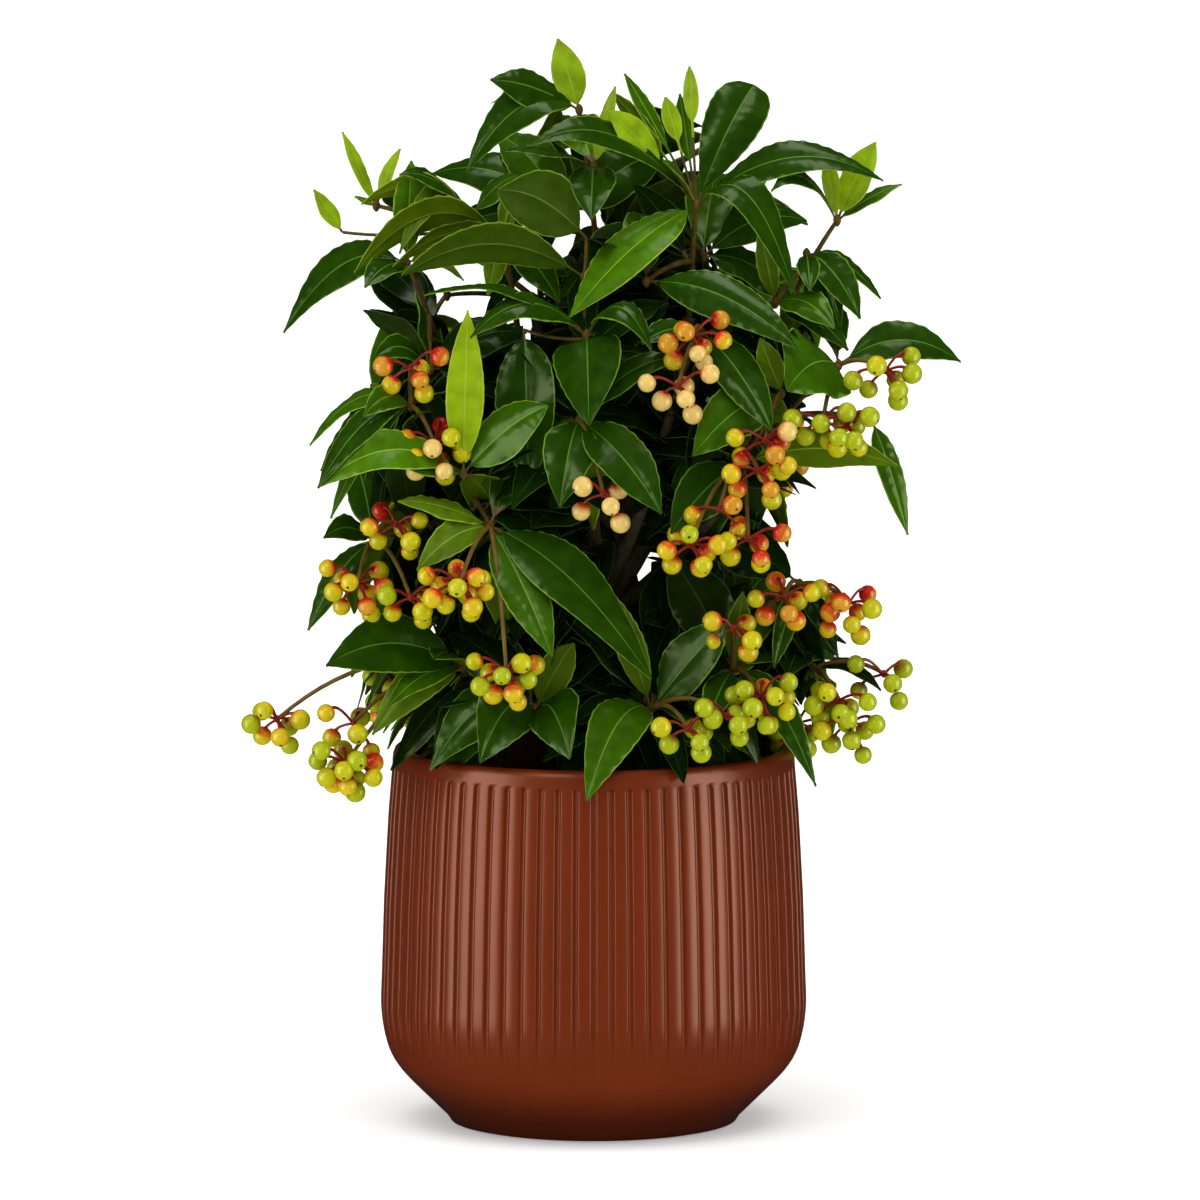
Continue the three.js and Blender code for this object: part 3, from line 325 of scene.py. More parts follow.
# How fast each form of blade swells from its stalk and narrows to its tip, and the stalk's share
LEAF_FORMS = {
    "pointed": (0.72, 0.95, 0.09), "blunt": (0.85, 0.4, 0.1), "heart": (0.3, 0.85, 0.1),
    "stalked": (0.7, 0.9, 0.42), "bud": (0.7, 0.8, 0.6),
}
# A blade's parts in mm: its thickness, half its midrib, its pale edge, the least half width of its
# stalk, and from wave to wave of its edge and from vein to vein
BLADE = {"thick": 0.45, "rib": 0.32, "edge": 0.55, "stalk": 0.5, "wave": 5.5, "vein": 5.4, "fewest_veins": 6}
# Its relief, mostly as shares of its half width: heights, and the ranges that are drawn for each leaf
RELIEF = {
    "slant": 0.55, "unevenness": 0.22, "quilt": 3.6, "quilt_height": 0.22, "ruffle_out": 0.15,
    "ruffle_up": 0.2, "slow_height": 0.10, "rib_sunk": 0.3, "rib_thick": 0.5, "calm": 0.4,
    "twist": 14, "fold": (0.10, 0.26), "cup": (0.16, 0.34), "slow": (1.2, 2.4),
}
MOST_ROWS = 68
# Rows of points to a millimetre of leaf, the fewest rows, and where the points between rib and edge lie
LEAF_DETAIL = {
    "fine": (0.9, 22, (0.2, 0.45, 0.75)),
    "plain": (0.34, 14, (0.3, 0.7)),
    "coarse": (0.2, 11, (0.55,)),
}
# How far the camera looks down, which tells what lies in front of what
LOOKS_DOWN = 0.137
# The studio, in metres and Blender's units of light. The lens is long, in mm, as the photograph's is.
CAMERA = {"lens": 359.5, "place": (0, -5.0, 0.83), "aim": (0.0027, 0, 0.2209)}
STUDIO = {
    "floor": 30.0, "wall": 28, "wall_sides": 48, "wall_ends": (-0.5, 30),
    "white": (0.94, 0.94, 0.94), "floor_glow": 0.28, "world": 0.02,
}
# Softboxes, there for the gloss alone: name, place, size and brightness, 1 for white
SOFTBOXES = [
    ("left_softbox", (-0.47, -0.25, 0.22), (0.34, 0.5), 6.5),
    ("right_softbox", (0.47, -0.25, 0.22), (0.28, 0.5), 8),
    ("front_softbox", (-0.5, -1.0, 1.2), (0.4, 0.4), 9),
    ("top_softbox", (0.1, 0.1, 1.4), (0.6, 0.4), 5),
]
# Even light that leaves no gloss: name, the way it shines, its strength and its breadth in degrees
DAYLIGHTS = [
    ("key", (0.04, 0.28, -1), 1.7, 60),
    ("dome", (0, 0.1, -1), 1.6, 165),
    ("fill", (0.2, 1, -0.4), 0.45, 90),
    ("back_fill", (-0.2, -1, -0.5), 0.35, 110),
]


def seeded(seed):
    """The same small seeded generator as the solids use."""
    state = seed & 0xFFFFFFFF

    def draw():
        nonlocal state
        state = (state + 0x6D2B79F5) & 0xFFFFFFFF
        mixed = ((state ^ (state >> 15)) * (state | 1)) & 0xFFFFFFFF
        mixed ^= (mixed + ((mixed ^ (mixed >> 7)) * (mixed | 61) & 0xFFFFFFFF)) & 0xFFFFFFFF
        return ((mixed ^ (mixed >> 14)) & 0xFFFFFFFF) / 4294967296

    return draw


def point(place):
    return np.array(place, float)


def unit(way):
    return way / np.linalg.norm(way)


def lerp(a, b, share):
    return a + (b - a) * share


class Bow:
    """A curve through three control points, from one end to the other."""

    def __init__(self, start, middle, end):
        self.ends = start, middle, end

    def at(self, share):
        share = np.atleast_1d(share)[:, None]
        start, middle, end = self.ends
        return (1 - share) ** 2 * start + 2 * share * (1 - share) * middle + share**2 * end

    def along(self, share):
        share = np.atleast_1d(share)[:, None]
        start, middle, end = self.ends
        way = 2 * (1 - share) * (middle - start) + 2 * share * (end - middle)
        return way / np.linalg.norm(way, axis=1, keepdims=True)


def bow(start, end, rise):
    return Bow(start, (start + end) / 2 + UP * 2 * rise, end)


def spine(foot, row):
    """The middle line of a leaf from its foot to its tip."""
    return bow(foot, foot + point(row[:3]), row[3])


def round_angles(count):
    return np.linspace(0, 2 * math.pi, count, endpoint=False)


def turned(radius, angle, level):
    """The points of a round surface, row by row."""
    level = np.broadcast_to(level, np.broadcast(radius, angle).shape)
    return np.stack([radius * np.cos(angle), radius * np.sin(angle), level], -1).reshape(-1, 3)


def add_object(name, data):
    made = bpy.data.objects.new(name, data)
    bpy.context.scene.collection.objects.link(made)
    return made


class Pile:
    """Points and faces of many small things, gathered into one mesh."""

    def __init__(self):
        self.points, self.faces, self.slots, self.count = [], [], [], 0

    def add(self, points, faces, slots=0):
        """faces is an array of triangles or of quads, and slots a number or one for each face."""
        self.points.append(points)
        self.faces.append(faces + self.count)
        self.slots.append(np.broadcast_to(slots, len(faces)))
        self.count += len(points)

    def piece(self, name, materials, nodes, slot):
        """The mesh as an object in metres, which rides on the body and replaces the nodes."""
        mesh = bpy.data.meshes.new(name)
        points = np.concatenate(self.points) / 1000
        faces = [face for block in self.faces for face in block.tolist()]
        mesh.from_pydata(points.tolist(), [], faces)
        mesh.polygons.foreach_set("material_index", np.concatenate(self.slots))
        mesh.polygons.foreach_set("use_smooth", np.ones(len(faces), bool))
        for finish in materials:
            mesh.materials.append(finish)
        mesh.validate()
        piece = add_object(name, mesh)
        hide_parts(*nodes)
        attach(piece, "root")
        return piece


def grid_faces(rows, columns, wrapped=False):
    """Quads between the points of a grid. A wrapped grid closes on itself across."""
    lanes = columns if wrapped else columns - 1
    row, column = np.meshgrid(np.arange(rows - 1), np.arange(lanes), indexing="ij")
    beside = (column + 1) % columns
    here, there = row * columns, (row + 1) * columns
    return np.stack([here + column, here + beside, there + beside, there + column], -1).reshape(-1, 4)


def tube(pile, centres, radii, sides, slot=0, relief=None):
    """A round limb through the centres, closed at both ends. Relief is a share of each radius."""
    ways = np.gradient(centres, axis=0)
    ways /= np.linalg.norm(ways, axis=1, keepdims=True)
    helper = FRONT if abs(ways[0] @ FRONT) < 0.9 else UP
    across = []
    for way in ways:
        helper = unit(helper - way * (helper @ way))
        across.append(helper)
    across = np.array(across)
    over = np.cross(ways, across)
    angle = round_angles(sides)
    reach = np.broadcast_to(np.asarray(radii, float).reshape(-1, 1), (len(centres), sides))
    if relief is not None:
        reach = reach * relief
    ring = np.cos(angle)[None, :, None] * across[:, None] + np.sin(angle)[None, :, None] * over[:, None]
    points = (centres[:, None] + reach[..., None] * ring).reshape(-1, 3)
    pile.add(points, grid_faces(len(centres), sides, wrapped=True)[:, ::-1], slot)
    for row, turn in ((0, 1), (len(centres) - 1, -1)):
        cap = np.concatenate([points[row * sides:(row + 1) * sides], centres[row:row + 1]])
        beside = (np.arange(sides) + 1) % sides
        fan = np.stack([np.arange(sides), beside, np.full(sides, sides)], -1)
        pile.add(cap, fan[:, ::turn], slot)


# Materials

# The noise's range that mottles the colour, the details of both noises, how the roughness varies with
# its own noise, the roughness of a coat, and the depth of a bump in metres
MOTTLE_BAND = 0.3, 0.7
MOTTLE_DETAIL, BUMP_DETAIL = 3, 4
ROUGHNESS_NOISE = {"size": 0.6, "detail": 2, "least": 0.85, "most": 1.15}
COAT_ROUGHNESS = 0.1
BUMP_DISTANCE = 0.0003


def plug(tree, node, inputs):
    """Set each input of the node to its value, or link it where that is another node's output."""
    for name, value in inputs.items():
        if isinstance(value, bpy.types.NodeSocket):
            tree.links.new(value, node.inputs[name])
        else:
            node.inputs[name].default_value = value


def add_node(tree, kind, inputs, **settings):
    made = tree.nodes.new(f"ShaderNode{kind}")
    for name, value in settings.items():
        setattr(made, name, value)
    plug(tree, made, inputs)
    return made


def place_in(tree):
    """Each point's place on the plant, in metres."""
    return add_node(tree, "TexCoord", {}).outputs["Object"]


def new_material(name):
    """A new material with its tree of nodes and its shader."""
    made = bpy.data.materials.new(name)
    made.use_nodes = True
    return made, made.node_tree, made.node_tree.nodes["Principled BSDF"]


def material(
    name, colour, roughness, gloss=0.5, coat=0.0, mottle=0.12, mottle_size=9.0, bump=0.1, bump_size=1.2,
    tint=(1, 1, 1),
):
    """A plain base colour with fine mottling, uneven roughness and a fine bump. Sizes are in mm."""
    made, tree, shader = new_material(name)
    place = place_in(tree)

    def noise(size, detail):
        node = add_node(tree, "TexNoise", {"Vector": place, "Scale": 1000 / size, "Detail": detail})
        return node.outputs["Fac"]

    ramp = add_node(tree, "ValToRGB", {"Fac": noise(mottle_size, MOTTLE_DETAIL)})
    for stop, position, share in zip(ramp.color_ramp.elements, MOTTLE_BAND, (1 - mottle, 1 + mottle)):
        stop.position = position
        stop.color = (*[min(1, c * share) for c in colour], 1)
    uneven = ROUGHNESS_NOISE
    spread = add_node(tree, "MapRange", {
        "Value": noise(mottle_size * uneven["size"], uneven["detail"]),
        "To Min": roughness * uneven["least"], "To Max": min(1, roughness * uneven["most"]),
    })
    relief = add_node(tree, "Bump", {
        "Height": noise(bump_size, BUMP_DETAIL), "Strength": bump, "Distance": BUMP_DISTANCE,
    })
    plug(tree, shader, {
        "Specular IOR Level": gloss, "Specular Tint": (*tint, 1),
        "Coat Weight": coat, "Coat Roughness": COAT_ROUGHNESS,
        "Base Color": ramp.outputs["Color"], "Roughness": spread.outputs["Result"],
        "Normal": relief.outputs["Normal"],
    })
    return made


# Tones of leaf: upper side, underside, midrib and edge
# Shade and deep are darker copies of the leaf for the leaves inside the crown: painted shade. Deep also falls
# in turn to some added leaves round the shoots.
TONES = {
    "shade": ((0.006, 0.022, 0.0004), (0.020, 0.044, 0.002), (0.020, 0.060, 0.004), (0.03, 0.07, 0.006)),
    "deep": ((0.004, 0.016, 0.0004), (0.016, 0.036, 0.002), (0.016, 0.050, 0.004), (0.03, 0.07, 0.006)),
    "dark": ((0.013, 0.047, 0.0004), (0.056, 0.100, 0.002), (0.070, 0.19, 0.008), (0.12, 0.24, 0.010)),
    "green": ((0.032, 0.096, 0.0006), (0.080, 0.140, 0.003), (0.12, 0.26, 0.010), (0.18, 0.32, 0.015)),
    "bright": ((0.058, 0.162, 0.001), (0.12, 0.20, 0.004), (0.22, 0.37, 0.012), (0.28, 0.42, 0.018)),
    "lime": ((0.230, 0.370, 0.003), (0.24, 0.37, 0.005), (0.30, 0.41, 0.012), (0.34, 0.44, 0.015)),
    "olive": ((0.075, 0.145, 0.001), (0.078, 0.138, 0.002), (0.18, 0.30, 0.012), (0.24, 0.36, 0.015)),
    "moss": ((0.030, 0.066, 0.001), (0.034, 0.074, 0.001), (0.09, 0.17, 0.005), (0.15, 0.26, 0.010)),
}
LEAF_GLOSS = (0.85, 1, 0.5)
LEAF_STALK = (0.085, 0.060, 0.010)
LEAF_ROUGHNESS = {"lime": 0.36, "olive": 0.36, "moss": 0.36}
# Tones that the leaves of the rule take in turn, round the shoots and lower on the twigs and boughs
ADDED_TONES = ["dark", "green", "dark", "deep", "green", "dark", "bright"]
# Inner leaves at the front take deep and shade, painted shade of the crown's inside; those of the shoots
# behind take lighter tones in turn.
INNER_TONES = {"twig": ["deep"], "bough": ["shade"], "behind": ["green", "dark", "deep"]}
# The colours of a fruit's five bands, from its stalk to its far end
RIPENESS = {
    "lime": (
        (0.23, 0.15, 0.002), (0.28, 0.28, 0.002), (0.35, 0.39, 0.002),
        (0.38, 0.44, 0.003), (0.37, 0.43, 0.003),
    ),
    "yellow": (
        (0.53, 0.04, 0.002), (0.60, 0.20, 0.002), (0.62, 0.42, 0.003),
        (0.58, 0.49, 0.003), (0.50, 0.47, 0.003),
    ),
    "orange": (
        (0.55, 0.008, 0.002), (0.61, 0.03, 0.003), (0.65, 0.13, 0.006),
        (0.68, 0.34, 0.008), (0.62, 0.46, 0.006),
    ),
    "red": (
        (0.40, 0.003, 0.002), (0.47, 0.006, 0.002), (0.53, 0.018, 0.004),
        (0.58, 0.09, 0.008), (0.58, 0.26, 0.012),
    ),
    "cream": (
        (0.62, 0.09, 0.015), (0.70, 0.26, 0.05), (0.76, 0.46, 0.12),
        (0.78, 0.54, 0.17), (0.74, 0.52, 0.14),
    ),
}
# What a bunch's fruit are, drawn in turn
MIXES = {
    "lime": ["lime", "lime", "lime", "lime", "yellow"],
    "yellow": ["yellow", "lime", "yellow", "orange", "lime"],
    "orange": ["orange", "yellow", "orange", "yellow", "red", "yellow"],
    "red": ["red", "orange", "yellow"],
    "cream": ["cream", "cream", "orange"],
    "blush": ["orange", "cream", "red", "cream", "orange", "red", "cream"],
    "mixed": ["yellow", "red", "cream", "orange", "yellow"],
}


# Leaves


def face_of(way, turn, towards):
    """The blade's upper face: level, then turned about the leaf's length towards one side."""
    side = np.cross(way, UP)
    side = unit(side) if side @ side > 1e-4 else np.array([1.0, 0, 0])
    level = np.cross(side, way)
    angle = math.radians(turn) * (-1 if side @ towards < 0 else 1)
    return unit(level * math.cos(angle) + side * math.sin(angle))


def half_outline(share, form="pointed"):
    """Half the blade's width, as a share of its widest, along the leaf with its stalk."""
    swell, taper, stalk = LEAF_FORMS[form]
    blade = np.clip((share - stalk) / (1 - stalk), 0, 1)
    peak = swell / (swell + taper)
    return blade**swell * (1 - blade) ** taper / (peak**swell * (1 - peak) ** taper)


def outwards(place):
    """The level way from the crown's axis to a place."""
    return unit(point((place[0], place[1] - CROWN["centre"][1], 0)) + FRONT * 0.01)


def blade_frame(curve, share, side, twist):
    """The ways across and out of the blade at each row of points, with its slight twist in degrees."""
    along = curve.along(share)
    over = np.cross(side, along)
    over /= np.linalg.norm(over, axis=1, keepdims=True)
    twist = np.radians(twist) * (share - 0.4)
    sides = side * np.cos(twist)[:, None] + over * np.sin(twist)[:, None]
    return sides, np.cross(sides, along)


def blade_relief(share, across, half, length, seed, calm, draw):
    """How far each point of the blade lies from the midrib and how far above it. Edge is -1 or 1."""
    share, half = share[:, None], half[:, None]
    reach, edge = np.abs(across)[None], np.sign(across)[None]
    spread = edge * np.maximum(half * reach, BLADE["stalk"] * np.minimum(1, reach * 1.2))
    waves = length / BLADE["wave"]
    wave = np.cos(2 * math.pi * waves * share + edge * 0.8 + draw.uniform(0, 6.28))
    ruffle = (reach > 0.9) * wave * np.minimum(1, half / 4)
    spread = spread + edge * ruffle * RELIEF["ruffle_out"] * calm
    veins = max(BLADE["fewest_veins"], round(length / BLADE["vein"]))
    uneven = RELIEF["unevenness"] * np.sin(14 * share + 1.9 * edge + seed)
    lane = veins * (share - RELIEF["slant"] * reach * half / length) + uneven
    quilt = np.cos(2 * math.pi * lane) * RELIEF["quilt"] * reach * np.clip(1 - reach, 0, 1) * calm
    quilt = quilt * (0.65 + 0.35 * np.sin(23 * share + 2.6 * edge + seed))
    fold = draw.uniform(*RELIEF["fold"])
    cup = draw.uniform(*RELIEF["cup"])
    lift = half * (fold * reach - cup * reach**2)
    lift = lift + quilt * RELIEF["quilt_height"] * np.minimum(1, half / 5)
    lift = lift + (reach >= 1) * ruffle * RELIEF["ruffle_up"] * calm
    slow = np.sin(2 * math.pi * share * draw.uniform(*RELIEF["slow"]) + edge * draw.uniform(0, 3))
    return spread, lift + slow * reach**2 * half * RELIEF["slow_height"]


def blade_slots(share, columns, stalk):
    """Each face's material: 0 for the blade, 2 for its midrib, 3 for its edge and 4 for its stalk."""
    lane = np.tile(np.arange(columns - 1), len(share) - 1)
    slots = np.zeros(len(lane), int)
    slots[lane == columns // 2 - 1] = 2
    slots[(lane == 0) | (lane == columns - 2)] = 3
    slots[np.repeat(share[:-1], columns - 1) < stalk * 0.8] = 4
    return slots


def leaf(pile, foot, row, seed, detail, towards=FRONT):
    """One leaf as a thin closed blade with its midrib, veins, wavy edge and tip."""
    turn, width = row[4:6]
    form = row[7] if len(row) > 7 else "pointed"
    draw = np.random.default_rng(seed)
    curve = spine(foot, row)
    stem = curve.ends[2] - foot
    length = np.linalg.norm(stem)
    rows_per_mm, fewest, inner = LEAF_DETAIL[detail]
    share = np.linspace(0, 1, int(np.clip(length * rows_per_mm, fewest, MOST_ROWS)))
    way = unit(stem)
    side = unit(np.cross(way, face_of(way, turn, towards)))
    sides, over = blade_frame(curve, share, side, draw.uniform(-RELIEF["twist"], RELIEF["twist"]))
    half = half_outline(share, form) * width / 2
    broad = max(2, width / 2)
    right = np.array([BLADE["rib"] / broad, *inner, 1 - BLADE["edge"] / broad, 1])
    across = np.concatenate([-right[::-1], right])
    calm = RELIEF["calm"] if tone_of(row) == "lime" else 1
    spread, lift = blade_relief(share, across, half, length, seed, calm, draw)
    reach = np.abs(across)[None]
    on_rib = reach <= right[0]
    lift = lift - on_rib * RELIEF["rib_sunk"] * np.minimum(1, half / 4)[:, None]
    top = curve.at(share)[:, None] + sides[:, None] * spread[..., None] + over[:, None] * lift[..., None]
    thick = np.where(reach >= 1, 0, BLADE["thick"]) + on_rib * RELIEF["rib_thick"] * (1 - share[:, None])
    under = top - over[:, None] * thick[..., None]
    quads = grid_faces(len(share), len(across))
    slots = blade_slots(share, len(across), LEAF_FORMS[form][2])
    pile.add(top.reshape(-1, 3), quads, slots)
    pile.add(under.reshape(-1, 3), quads[:, ::-1], np.where(slots == 0, 1, slots))


def along_table(table, place):
    return float(np.interp(place, [row[0] for row in table], [row[1] for row in table]))


def in_crown(place):
    if not HALF_WIDTHS[0][0] <= place[2] <= HALF_WIDTHS[-1][0]:
        return False
    x, y = place[0] - CROWN["centre"][0], (place[1] - CROWN["centre"][1]) / CROWN["depth"]
    return math.hypot(x, y) < along_table(HALF_WIDTHS, place[2])


def hides_sky(foot, row):
    """Whether a leaf would lie before one of the clear lines of sight."""
    shares = np.linspace(0.05, 0.98, 9)
    x, _, z = spine(foot, row).at(shares).T
    sky_x, sky_z, radius = np.array(SKY).T[..., None]
    half = half_outline(shares) * row[5] * SEEN_HALF
    return (np.hypot(x - sky_x, z - sky_z) < radius * 0.9 + half).any()


def whorl(out, side, rule, count, first, draw, forward=False):
    """Rows of leaves that open round a way, each a golden angle on from the last."""
    rise = np.cross(side, out)
    rows = []
    for i in range(count):
        around = (i + first) * GOLDEN_ANGLE + draw() * rule["jitter"]
        open_by = math.radians(rule["opens"] + rule["opens_more"] * draw())
        length = lerp(rule["shortest"], rule["longest"], draw())
        way = side * math.cos(around) + rise * math.sin(around)
        way = out * math.cos(open_by) + math.sin(open_by) * way
        if forward and way[1] < FORWARD:
            way[1] = FORWARD - 0.6 * way[1]
        way = unit(way + UP * rule["lift"]) * length
        turn = rule["faces"] + rule["tilt"] * (draw() - 0.5)
        rows.append((*way, length * rule["rise"], turn, length * rule["width"]))
    return rows


def added_leaves(shoot, seed):
    """The leaves that the rule adds round a shoot."""
    x, y, z = shoot["at"]
    out = unit(point((x, y, (z - CROWN["centre"][2]) * CROWN["fan"] + CROWN["lift"])))
    side = unit(np.cross(out, UP))
    return whorl(out, side, ADDED_LEAF, shoot["added"], 0, seeded(seed), forward=not shoot["behind"])


def inner_leaves(curve, places, seed):
    """Leaves lower on a twig or bough, whose curve runs inwards: the foot and the row of each."""
    draw = seeded(seed)
    found = []
    for share in places:
        foot, out = curve.at(share)[0], -curve.along(share)[0]
        side = unit(np.cross(out, UP + 0.01))
        found += [(foot, row) for row in whorl(out, side, INNER_LEAF, INNER_LEAF["count"], 2 * share, draw)]
    return found


def bunch_plan(bunch, seed):
    x, y, z, count = bunch[:4]
    draw = seeded(seed)
    hub = point((x, y, z))
    fruit = []
    for i in range(count):
        fall = math.acos(1 - FRUIT["spread"] * (i + 0.5) / count)
        around = i * GOLDEN_ANGLE + draw() * FRUIT["jitter"]
        length = lerp(FRUIT["shortest"], FRUIT["longest"], draw())
        fruit.append(hub + length * point((
            math.sin(fall) * math.cos(around), math.sin(fall) * math.sin(around), -math.cos(fall),
        )))
    return hub, fruit


# The plant's plan


def around_axis(azimuth, distance, height):
    """A place by its azimuth in degrees from +X and its distance from the crown's axis."""
    angle = math.radians(azimuth)
    return distance * math.cos(angle), CROWN["centre"][1] + distance * math.sin(angle), height


def back_mass(row, index):
    name, azimuth, height, distance, count = row
    shoots = []
    for i, (turn, further, up) in enumerate(BACK_SHOOTS):
        at = around_axis(azimuth + turn, distance + further, height + up)
        hub = (at[0] * BACK_HUB["out"], at[1] * BACK_HUB["out"], at[2] - BACK_HUB["drop"])
        mix = BACK_MIXES[(index + i) % len(BACK_MIXES)]
        bunches = [(*hub, count, mix)] if count and i % 2 == 0 else []
        shoots.append((at, BACK_LEAVES, [], *bunches))
    return name, name, shoots


def back_bough(row):
    name, azimuth, height, distance, _ = row
    share = min(max((height - SOIL_LEVEL) / BACK_FORK["reach"], BACK_FORK["lowest"]), BACK_FORK["highest"])
    return name, share, around_axis(azimuth, distance, height), BACK_BOUGH["base"], BACK_BOUGH["end"]


def plan_shoots(masses, tips):
    """Every shoot of the plant with its twig, in the order that their seeds count."""
    planned = []
    for name, bough_name, shoots in masses:
        start = tips[bough_name]
        first = point(shoots[0][0])
        stem = bow(first, start, TWIG["bow"] * np.linalg.norm(first - start))
        for i, (at, added, leaves, *bunches) in enumerate(shoots):
            knot = point(at)
            begin = start if i == 0 else stem.at(TWIG["fork"] - TWIG["fork_step"] * i)[0]
            planned.append({
                "mass": name, "at": at, "knot": knot, "added": added, "leaves": leaves, "bunches": bunches,
                "behind": name not in FRONT_NAMES,
                "twig": bow(knot, begin, TWIG["bow"] * np.linalg.norm(begin - knot)),
            })
    return planned


def shoot_of(mass, number):
    return [shoot for shoot in SHOOTS if shoot["mass"] == mass][number]


def limb_curves():
    """The trunk's curve, and each bough's by name."""
    foot, tip = point(TRUNK["foot"]), point(TRUNK["tip"])
    trunk = Bow(foot, (foot + tip) / 2 + np.array([TRUNK["lean"], 0, 0]), tip)
    boughs = {}
    for name, share, end, _, _ in LIMBS:
        start, end = trunk.at(share)[0], point(end)
        out = (end - start) * (1, 1, 0)
        middle = (start + end) / 2 + out * BOUGH_BOW["out"] - UP * BOUGH_BOW["sag"] * np.linalg.norm(out)
        boughs[name] = Bow(start, middle, end)
    return trunk, boughs


FRONT_NAMES = tuple(name for name, _, _ in FRONT_MASSES)
MASSES = FRONT_MASSES + [back_mass(row, i) for i, row in enumerate(BACK_MASSES)]
LIMBS = BOUGHS + [back_bough(row) for row in BACK_MASSES]
TRUNK_CURVE, LIMB_CURVES = limb_curves()
SHOOTS = plan_shoots(MASSES, {name: point(tip) for name, _, tip, _, _ in LIMBS})
SPRIGS = [(shoot_of(mass, number), share, point(foot), row) for mass, number, share, foot, row in FINE_SPRIGS]
NODES = sorted(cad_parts)
FOLIAGE_NODES = [name for name in NODES if name.startswith("foliage")]
WOOD_NODES = [name for name in NODES if name.startswith("bough")] + ["trunk"]


# Pieces


def seen_spots(foot, row, shares):
    """Places along a leaf as the camera sees them: across, up, how far off, and the blade's half width."""
    x, y, z = spine(foot, row).at(shares).T
    return np.stack([x, z + LOOKS_DOWN * y, y, half_outline(shares) * row[5] * SEEN_HALF], -1)


class Thicket:
    """The leaves so far, which keep their distance, and what none may hide from the front."""

    def __init__(self):
        self.taken, self.shown = np.empty((0, 3)), np.empty((0, 4))

    def show(self, spots):
        self.shown = np.concatenate([self.shown, spots])

    def takes(self, foot, row, room=0):
        """Whether the leaf has its room and hides nothing, and it is then counted in."""
        spots = spine(foot, row).at(np.array([0.3, 0.5, 0.7, 0.9]))
        if room and len(self.taken):
            if np.linalg.norm(spots[:, None] - self.taken[None], axis=2).min() < room:
                return False
            x, z, y, half = seen_spots(foot, row, np.linspace(0.1, 0.97, 9)).T[..., None]
            shown_x, shown_z, shown_y, shown_half = self.shown.T[:, None]
            near = np.hypot(x - shown_x, z - shown_z) < half + shown_half
            if (near & (y < shown_y - 1)).any():
                return False
        self.taken = np.concatenate([self.taken, spots])
        return True


def tone_of(row):
    return row[6] if len(row) > 6 else "dark"


def aimed_leaves(thicket):
    """The leaves that the tables name. No added leaf may hide them or the fruit at the front."""
    found = []
    for index, shoot in enumerate(SHOOTS):
        for k, row in enumerate(shoot["leaves"]):
            thicket.takes(shoot["knot"], row)
            thicket.show(seen_spots(shoot["knot"], row, np.linspace(0.15, 0.95, 9)))
            found.append((tone_of(row), shoot["knot"], row, 1000 * index + k, "fine"))
        for k, bunch in enumerate([] if shoot["behind"] else shoot["bunches"]):
            x, y, z = np.array(bunch_plan(bunch, SEED + 100 * index + k)[1]).T
            thicket.show(np.stack([x, z + LOOKS_DOWN * y, y, np.full(len(x), 3.0)], -1))
    small = [(foot, row) for _, _, foot, row in SPRIGS]
    small += [(shoot_of(mass, number)["knot"], row) for mass, number, row in SMALL_LEAVES]
    for index, (foot, row) in enumerate(small):
        thicket.takes(foot, row)
        found.append((tone_of(row), foot, row, 90000 + index, "fine"))
    return found


def ruled_leaves(thicket):
    """The leaves that the rule adds: round each shoot, then lower on its twig and on the boughs."""
    found = []

    def offer(tone, foot, row, room, seed, detail):
        if in_crown(foot + point(row[:3])) and not hides_sky(foot, row) and thicket.takes(foot, row, room):
            found.append((tone, foot, row, seed, detail, outwards(foot)))

    for index, shoot in enumerate(SHOOTS):
        for k, row in enumerate(added_leaves(shoot, SEED + 7 * index)):
            tone = ADDED_TONES[(3 * index + k) % len(ADDED_TONES)]
            offer(tone, shoot["knot"], row, ROOM["added"], 1000 * index + 50 + k, "plain")
    limbs = [(shoot["twig"], INNER_LEAF["on_twig"], shoot["behind"]) for shoot in SHOOTS]
    limbs += [(Bow(*curve.ends[::-1]), INNER_LEAF["on_bough"], False) for curve in LIMB_CURVES.values()]
    for index, (curve, places, behind) in enumerate(limbs):
        tones = INNER_TONES["behind" if behind else "twig" if index < len(SHOOTS) else "bough"]
        for k, (foot, row) in enumerate(inner_leaves(curve, places, SEED + 13 * index)):
            offer(tones[k % len(tones)], foot, row, ROOM["inner"], 1000 * index + 100 + k, "coarse")
    return found


def leaf_materials(tone):
    """The upper side, the underside, the midrib, the edge and the stalk."""
    upper, under, rib, edge = TONES[tone]
    roughness = LEAF_ROUGHNESS.get(tone, 0.22)
    name = f"leaf_{tone}"
    return [
        material(f"{name}_upper", upper, roughness, 0.2, mottle=0.25, mottle_size=7, tint=LEAF_GLOSS),
        material(f"{name}_under", under, 0.5, 0.05, mottle=0.16, mottle_size=6, bump=0.15, tint=LEAF_GLOSS),
        material(f"{name}_rib", rib, 0.45, 0.15, mottle=0.1),
        material(f"{name}_edge", edge, 0.45, 0.15, mottle=0.14),
        material(f"{name}_stalk", LEAF_STALK, 0.45, 0.2, mottle=0.3, mottle_size=5),
    ]


def grow_leaves():
    """A pile of leaves for each tone."""
    piles = {tone: Pile() for tone in TONES}
    thicket = Thicket()
    for tone, *plan in aimed_leaves(thicket) + ruled_leaves(thicket):
        leaf(piles[tone], *plan)
    return piles


